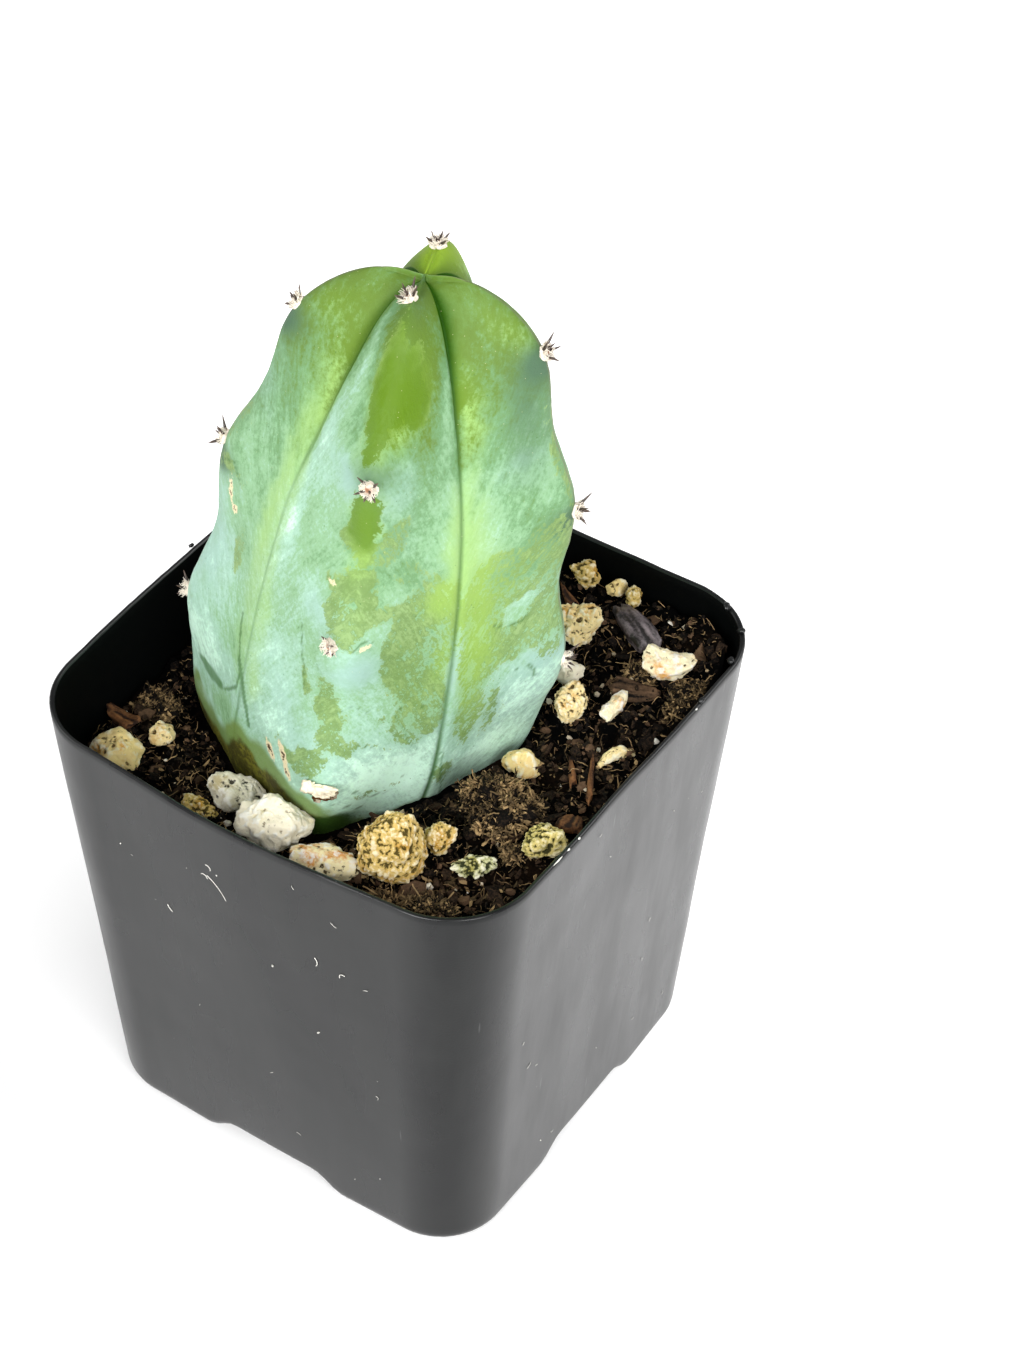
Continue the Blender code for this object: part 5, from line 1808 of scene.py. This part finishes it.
@dataclass(frozen=True)
class Stone:
    """A piece of pumice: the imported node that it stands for, its size, turn and habit.

    The fill is the share of its size that the cut shape takes up; its lumps take the rest.
    """

    node: str
    size: tuple
    turn: float
    habit: Habit
    finish: Pumice
    slot: str
    seed: int
    bend: float = 0.0
    pits: float = 0.5
    taper: float = 0.0
    planes: int = 17
    fill: float = 0.93

    def cut(self, ways: Array) -> Array:
        """A unit sphere cut by scattered planes and sized.

        The planes face along a golden-angle spiral, each one turned a little at random.
        """
        draw = np.random.default_rng(self.seed)
        power, count = self.habit.value[0], self.planes
        high = 1 - (2 * np.arange(count) + 1) / count
        turn = np.arange(count) * math.pi * (3 - math.sqrt(5)) + TAU * draw.random()
        flat = np.sqrt(1 - high**2)
        planes = np.stack([flat * np.cos(turn), flat * np.sin(turn), high], axis=1)
        planes = unit(planes + draw.normal(0, 0.22, planes.shape))
        far = draw.uniform(0.8, 1.08, count)
        facing = np.maximum(ways @ planes.T / far, 0.0)
        shape = ways * ((facing**power).sum(axis=1) ** (-1 / power))[:, None]
        shape[:, :2] *= 1 - self.taper * np.clip(shape[:, 2:], -1, 1)
        reach = np.quantile(np.abs(shape), 0.9, axis=0)
        return shape * (np.array(self.size) / 2 * self.fill / reach)

    def roughness(self, shape: Array) -> tuple[Array, Array]:
        """Broad lumps, and the fine relief of grains and pits, as heights at each point."""
        _, lump, grit = self.habit.value
        seed = self.seed
        broad = lump * np.minimum(min(self.size) / 5, 1.2) * grain(shape, 2.0, seed, 2)
        rough = 0.35 * lump * grain(shape, 0.7, seed + 3, 2)
        near, _ = cells(shape, 0.62, seed + 1)
        small, _ = cells(shape, 0.36, seed + 7)
        rough += grit * (0.8 * (0.55 - near) + 1.2 * (0.5 - small) + 0.5 * grain(shape, 0.5, seed + 5, 2))
        broad += 0.6 * grit * grain(shape, 1.3, seed + 6, 2)
        pit_gap, pit_own = cells(shape, 1.2, seed + 2)
        pit = np.where(pit_own < self.pits, ramp(pit_gap, 0.34, 0.14), 0.0)
        return broad, rough - 0.4 * pit

    def build(self, materials: dict) -> None:
        """Shape the stone, bend it and set it on its node."""
        columns = int(np.clip(20 * max(self.size), 72, 150))
        ball = sphere(int(columns * 0.58), columns)
        out = unit(ball.points * (np.array(self.size) / 2))
        shape = self.cut(ball.points)
        broad, rough = self.roughness(shape)
        shape = shape + out * (broad + rough)[:, None]
        shape[:, 2] -= self.bend * (2 * shape[:, 0] / self.size[0]) ** 2
        ball.points = shape @ spin(self.turn).T + middle_of(self.node)
        spread = np.std(rough) + 1e-6
        ball.values = {"tone": np.clip(0.5 + 0.25 * (rough - rough.mean()) / spread, 0, 1)}
        name = self.node.replace("pumice_", "pumice_piece_")
        place(name, [ball], [materials[self.finish.name]], self.slot, (self.node,))


# Short names for the rows of the table: habits, and the material slots for pumice.
R, G = Habit.ROUNDED, Habit.GRANULAR
WHITE, CREAM, GOLD = "pumice_white", "pumice_cream", "pumice_golden"
STONES = (
    Stone("pumice_gold_front", (6.5, 6, 9.4), 20, G, GOLD_PUMICE, GOLD, 3, pits=0),
    Stone("pumice_gold_lobe", (2.8, 2.6, 4.4), 60, G, GOLD_PUMICE, GOLD, 4, pits=0),
    Stone("pumice_white_front", (7, 5.6, 6.2), 32, R, WHITE_PUMICE, WHITE, 5, pits=0.06),
    Stone("pumice_grey_front", (6.2, 3.9, 4), 10, R, GREY_PUMICE, WHITE, 6, pits=0.3),
    Stone("pumice_orange_front", (6.4, 4.2, 4), 15, R, RUSTY_PUMICE, CREAM, 7, pits=0.1),
    Stone("pumice_cream_left", (5.2, 4.3, 4.2), 10, R, HONEY_PUMICE, CREAM, 8, pits=0.1),
    Stone("pumice_round_left", (2.9, 2.5, 2.2), 0, R, CREAM_PUMICE, CREAM, 9, pits=0.1),
    Stone("pumice_tan_left", (4.2, 2, 2), 0, G, GOLD_PUMICE, CREAM, 10, pits=0.3),
    Stone("pumice_cream_right", (4.6, 3.8, 6.4), 70, G, CREAM_PUMICE, CREAM, 11, pits=0.4, taper=-0.35),
    Stone("pumice_white_right", (3.5, 2.9, 2.8), 30, R, WHITE_PUMICE, WHITE, 12, pits=0.1),
    Stone("pumice_speckled_right", (3.9, 3.1, 5), 110, G, CREAM_PUMICE, CREAM, 13, pits=0.25, taper=-0.5),
    Stone("pumice_long_right", (5, 1.9, 1.9), 92, R, BLUSHED_PUMICE, WHITE, 14, pits=0.1),
    Stone("pumice_saddle_right", (5.8, 3.4, 3.2), 22, R, BLUSHED_PUMICE, WHITE, 15, bend=-0.9, pits=0),
    Stone("pumice_gold_back", (3.1, 2.4, 3.6), 0, G, GOLD_PUMICE, GOLD, 16, pits=0.3, taper=-0.35),
    Stone("pumice_orange_back", (2.6, 1.5, 2.5), 60, R, HONEY_PUMICE, CREAM, 17, pits=0.1),
    Stone("pumice_crumb_back", (2.2, 1.5, 2.6), 110, G, GOLD_PUMICE, CREAM, 18, pits=0.4),
    Stone("pumice_gold_foot", (3.7, 3, 3.6), 20, R, HONEY_PUMICE, GOLD, 24, pits=0, taper=0.7),
    Stone("pumice_arched_right", (5.2, 1.4, 1.6), 55, R, CREAM_PUMICE, CREAM, 20, bend=1.6, pits=0.1),
    Stone("pumice_moss_right", (4.6, 3.4, 3.4), 45, G, OLIVE_PUMICE, GOLD, 21, pits=0),
    Stone("pumice_green_front", (4.4, 2, 2), 45, G, MOSSY_PUMICE, WHITE, 22, pits=0.2),
)


@dataclass(frozen=True)
class Sliver:
    """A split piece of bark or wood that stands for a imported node."""

    node: str
    size: tuple
    turn: float
    tilt: float
    finish: Toned
    slot: str
    seed: int
    curl: float = 0.0

    def build(self, materials: dict) -> None:
        """A squared-off sphere (power 0.5 of its points), split along its length and curled."""
        ball = sphere(32, 50)
        boxed = np.sign(ball.points) * np.abs(ball.points) ** 0.5
        half = np.array(self.size) / 2
        shape = boxed / np.abs(boxed).max(axis=0) * half
        ends = 1 + 0.35 * grain(shape * np.array([0.3, 2.0, 0.5]) / half, 1.0, self.seed + 2)
        shape[:, 0] *= ends
        shape[:, 1] *= 1 - 0.3 * shape[:, 0] / half[0] + 0.25 * grain(shape, 1.6, self.seed + 4)
        groove = grain(shape * np.array([0.15, 1.0, 1.0]), 0.45, self.seed + 1)
        shape[:, 2] += (0.13 * groove + 0.12 * grain(shape, 1.1, self.seed + 5)) * np.sign(boxed[:, 2])
        shape[:, 2] += self.curl * (shape[:, 0] / half[0]) ** 2
        ball.points = shape @ spin(self.turn, self.tilt).T + middle_of(self.node)
        ball.values["tone"] = 0.25 + 0.6 * groove
        place(self.node + "_piece", [ball], [materials[self.finish.name]], self.slot, (self.node,))


SLIVERS = (
    Sliver("bark_purple_back", (8, 2.9, 1.7), 148, 8, BARK, "bark", 31, curl=-0.5),
    Sliver("bark_dark_right", (5.2, 2.8, 1.1), 30, 6, CRUMB, "bark", 32, curl=0.3),
    Sliver("bark_red_right", (3.1, 2.6, 1.3), 105, 24, WOOD, "bark", 33),
    Sliver("wood_sliver_back", (5.4, 1.2, 0.6), 147, 4, WOOD, "wood", 34, curl=0.3),
    Sliver("wood_sliver_right_1", (4.6, 0.8, 0.6), 126, 6, WOOD, "wood", 35),
    Sliver("wood_sliver_right_2", (7.6, 0.7, 0.6), 119, 4, WOOD, "wood", 36, curl=0.3),
    Sliver("peat_curl_left", (4.8, 2, 0.9), 168, 8, WOOD, "wood", 37, curl=0.5),
)


@dataclass(frozen=True)
class Heap:
    """A matted heap of dry moss: crumpled leaves and stalks round a dark core of painted shade."""

    name: str
    place: tuple
    size: tuple
    leaves: int
    tones: tuple
    seed: int
    node: str = ""
    stalk_steps: int = 6
    stalk_sides: int = 4

    def middle(self, soil: Soil) -> Array:
        """The heap's middle: its node's, or a little over the ground."""
        if self.node:
            return middle_of(self.node)
        x, y = self.place
        return np.array([x, y, float(soil.ground(np.array(x), np.array(y))) + 0.1 * self.size[2]])

    def core(self) -> Surface:
        """A lumpy dome at the darkest tone that fills the heap's inside: painted shade between the leaves."""
        core = sphere(26, 40)
        uneven = 1 + 0.35 * grain(core.points, 0.5, 42)[:, None]
        core.points = core.points * (np.array(self.size) / 2) * 0.8 * uneven
        core.values["tone"] = np.zeros(len(core.points))
        return core

    def mat(self, soil: Soil, middle: Array, draw: Draw) -> tuple[Surface, Array]:
        """Narrow cupped leaves through the outer part of a rough dome, and their places."""
        leaf = sphere(2, 5)
        leaf.points[:, 2] = 0.25 * leaf.points[:, 2] + 0.5 * leaf.points[:, 0] ** 2
        way = unit(draw.normal(size=(self.leaves, 3)))
        way[:, 2] = np.abs(way[:, 2]) * 1.15 - 0.2
        reach = draw.uniform(0.72, 1.1, (self.leaves, 1)) + 0.25 * grain(way, 0.6, self.seed)[:, None]
        size = draw.uniform(0.3, 1.0, (self.leaves, 1))
        shape = size * np.array([0.75, 0.24, 0.3]) * draw.uniform(0.6, 1.4, (self.leaves, 3))
        pick = draw.random(self.leaves)
        tone = self.tones[0] + (self.tones[1] - self.tones[0]) * (0.36 * pick + 0.9 * (pick > 0.84))
        turns = random_turns(self.leaves, draw)
        clump = grain(way, 0.34, self.seed + 5, 2)
        reach += 0.16 * clump[:, None]
        tone += 0.5 * clump
        spots = way * (np.array(self.size) / 2) * reach
        x, y = soil.pot.held(spots[:, 0] + middle[0], spots[:, 1] + middle[1])
        spots[:, 0], spots[:, 1] = x - middle[0], y - middle[1]
        return copies(leaf, spots, shape, turns, tone), spots

    def stalks(self, soil: Soil, middle: Array, spots: Array, draw: Draw) -> Surface:
        """Bent stalks that start at a third of the leaves and keep clear of the stem."""
        count, steps = self.leaves // 3, self.stalk_steps
        root = spots[:count] * 0.9
        step = np.linspace(0, 1, steps)[None, :, None]
        run = np.clip(draw.normal(size=(count, 1, 3)), -1.5, 1.5) * draw.uniform(0.5, 1.2, (count, 1, 1))
        paths = root[:, None] + run * step + 0.12 * draw.normal(size=(count, steps, 3))
        paths[..., 2] += 0.5 * step[..., 0] * (1 - step[..., 0])
        x, y = paths[..., 0] + middle[0], paths[..., 1] + middle[1]
        touching = soil.stem.clearance(x, y).min(axis=1) < 0.5
        x[touching], y[touching] = x[touching, :1], y[touching, :1]
        x, y = soil.pot.held(x, y)
        paths[..., 0], paths[..., 1] = x - middle[0], y - middle[1]
        thick = draw.uniform(0.04, 0.1, (count, 1)) * np.ones((1, steps))
        shade = draw.random((count, 1)) ** 3 * 0.7 * self.tones[1]
        return tubes(paths, thick, self.stalk_sides, shade)

    def build(self, soil: Soil, materials: dict) -> None:
        """Core, leaves and stalks as one piece."""
        draw = np.random.default_rng(self.seed)
        middle = self.middle(soil)
        mat, spots = self.mat(soil, middle, draw)
        twigs = self.stalks(soil, middle, spots, draw)
        mat.finish = twigs.finish = 1
        parts = [self.core(), mat, twigs]
        for part in parts:
            part.points = part.points + middle
        both = [materials[CRUMB.name], materials[MOSS.name]]
        place(self.name, parts, both, "soil", (self.node,) if self.node else ())


HEAPS = (
    Heap("moss_heap_right", (20.8, -9.4), (9.4, 7.6, 5.2), 1600, (0.1, 1.15), 41, "peat_lump"),
    Heap("moss_tuft_front", (17.5, -26.6), (5, 3.6, 2.6), 600, (0.3, 1.3), 44),
    Heap("moss_tuft_corner", (23, -26), (7, 4.8, 2.6), 700, (0, 0.9), 45),
    Heap("moss_tuft_middle", (25.2, -13.6), (3.4, 2.4, 2), 240, (0.1, 1), 46),
    Heap("moss_tuft_bark", (22, 18), (4, 2.6, 1.6), 260, (0.1, 0.9), 47),
    Heap("moss_tuft_far_corner", (28.6, 17.6), (3.6, 6.6, 2), 420, (0, 0.7), 48),
    Heap("moss_tuft_left", (-25.6, -12.4), (5.4, 4, 2), 400, (0, 0.8), 49),
)


# ----------------------------------------------------------------------- studio


WHITE_LIGHT = (1.0, 1.0, 1.0, 1.0)
# Name, place, power in watts and width of each soft box, in metres.
SOFTBOXES = (
    ("right_softbox", (0.46, -0.30, 0.36), 2.8, 0.30),
    ("front_softbox", (0.02, -0.52, 0.36), 2.8, 0.30),
    ("left_softbox", (-0.55, -0.20, 0.36), 1.2, 0.40),
    ("back_softbox", (0.35, 0.55, 0.60), 2.0, 0.40),
)


@dataclass
class Studio:
    """White floor, soft light from all round, and the camera; its sizes are in metres.

    The floor glows a little, from the front glow to the back glow along the glow way,
    over the glow reach in millimetres to each side of the middle.
    """

    camera_place: tuple = (0.155434, -0.218886, 0.315160)
    azimuth: float = 32.543
    elevation: float = 43.440
    roll: float = 1.565
    lens: float = 84.40
    clip_start: float = 0.01
    sky: float = 0.34
    front_glow: float = 0.07
    back_glow: float = 0.70
    glow_way: tuple = (0.3, 0.95, 0.0)
    glow_reach: float = 45.0
    aim: tuple = (0, 0, 0.07)
    floor_size: float = 6.0
    paper: float = 0.80

    def camera(self) -> None:
        """Stand the camera where its view lines up with the pot's walls and rim."""
        azimuth, elevation = math.radians(self.azimuth), math.radians(self.elevation)
        flat = math.cos(elevation)
        back = np.array([math.sin(azimuth) * flat, -math.cos(azimuth) * flat, math.sin(elevation)])
        level = np.array([math.cos(azimuth), math.sin(azimuth), 0.0])
        upright = np.cross(back, level)
        c, s = math.cos(math.radians(self.roll)), math.sin(math.radians(self.roll))
        right = c * level + s * upright
        up = -s * level + c * upright
        data = bpy.data.cameras.new("camera")
        data.lens = self.lens
        data.clip_start = self.clip_start
        stand = in_scene("camera", data)
        pose = np.eye(4)
        pose[:3, 0], pose[:3, 1], pose[:3, 2], pose[:3, 3] = right, up, back, self.camera_place
        stand.matrix_world = Matrix(pose.tolist())
        bpy.context.scene.camera = stand

    def lights(self) -> None:
        """An even white sky and four soft boxes."""
        world = bpy.data.worlds.new("white_sky")
        world.use_nodes = True
        background = world.node_tree.nodes["Background"]
        background.inputs["Color"].default_value = WHITE_LIGHT
        background.inputs["Strength"].default_value = self.sky
        bpy.context.scene.world = world
        for name, spot, power, size in SOFTBOXES:
            data = bpy.data.lights.new(name, "AREA")
            data.energy = power
            data.size = size
            lamp = in_scene(name, data)
            lamp.location = spot
            aim = Vector(self.aim) - lamp.location
            lamp.rotation_euler = aim.to_track_quat("-Z", "Y").to_euler()

    def floor(self) -> None:
        """A white table top that glows, more towards the back: painted light."""
        half = self.floor_size / 2
        mesh = bpy.data.meshes.new("floor")
        corners = [(-half, -half, 0), (half, -half, 0), (half, half, 0), (-half, half, 0)]
        mesh.from_pydata(corners, [], [(0, 1, 2, 3)])
        table = in_scene("floor", mesh)
        paper = Finish("white_paper", roughness=0.9, specular=0.1).material()
        shader = paper.node_tree.nodes["Principled BSDF"]
        shader.inputs["Base Color"].default_value = (*[self.paper] * 3, 1.0)
        shader.inputs["Emission Color"].default_value = WHITE_LIGHT
        graph = Graph(paper.node_tree)
        ways = {0: graph.millimetres(), 1: self.glow_way}
        side = graph.add("VectorMath", ways, out=1, operation="DOT_PRODUCT")
        reach = self.glow_reach
        rise = graph.add("MapRange", {0: side, 1: -reach, 2: reach, 3: self.front_glow, 4: self.back_glow})
        graph.feed(shader, Emission_Strength=rise)
        mesh.materials.append(paper)

    def build(self) -> None:
        """Camera, lights and floor, with colours shown as they are."""
        self.camera()
        self.lights()
        self.floor()
        bpy.context.scene.view_settings.view_transform = "Standard"


def main() -> None:
    """Build every sub-assembly in order."""
    Studio().build()
    stem = Stem()
    pot = Pot()
    stem.build()
    seed = FIRST_AREOLE_SEED
    for name, spots in AREOLES.items():
        for number, (rib, height, spine) in enumerate(spots, start=1):
            seed += 1
            old = name == "front" and number == 1
            Areole(stem, rib, height, f"{name}_{number}", seed, old, spine_length=spine).build()
    pot.build()
    soil = Soil(pot, stem)
    soil.build()
    finishes = {stone.finish for stone in STONES} | {BARK, WOOD, CRUMB, MOSS}
    materials = {finish.name: finish.material() for finish in finishes}
    for stone in STONES:
        stone.build(materials)
    for sliver in SLIVERS:
        sliver.build(materials)
    for heap in HEAPS:
        heap.build(soil, materials)


if __name__ == "__main__":
    main()
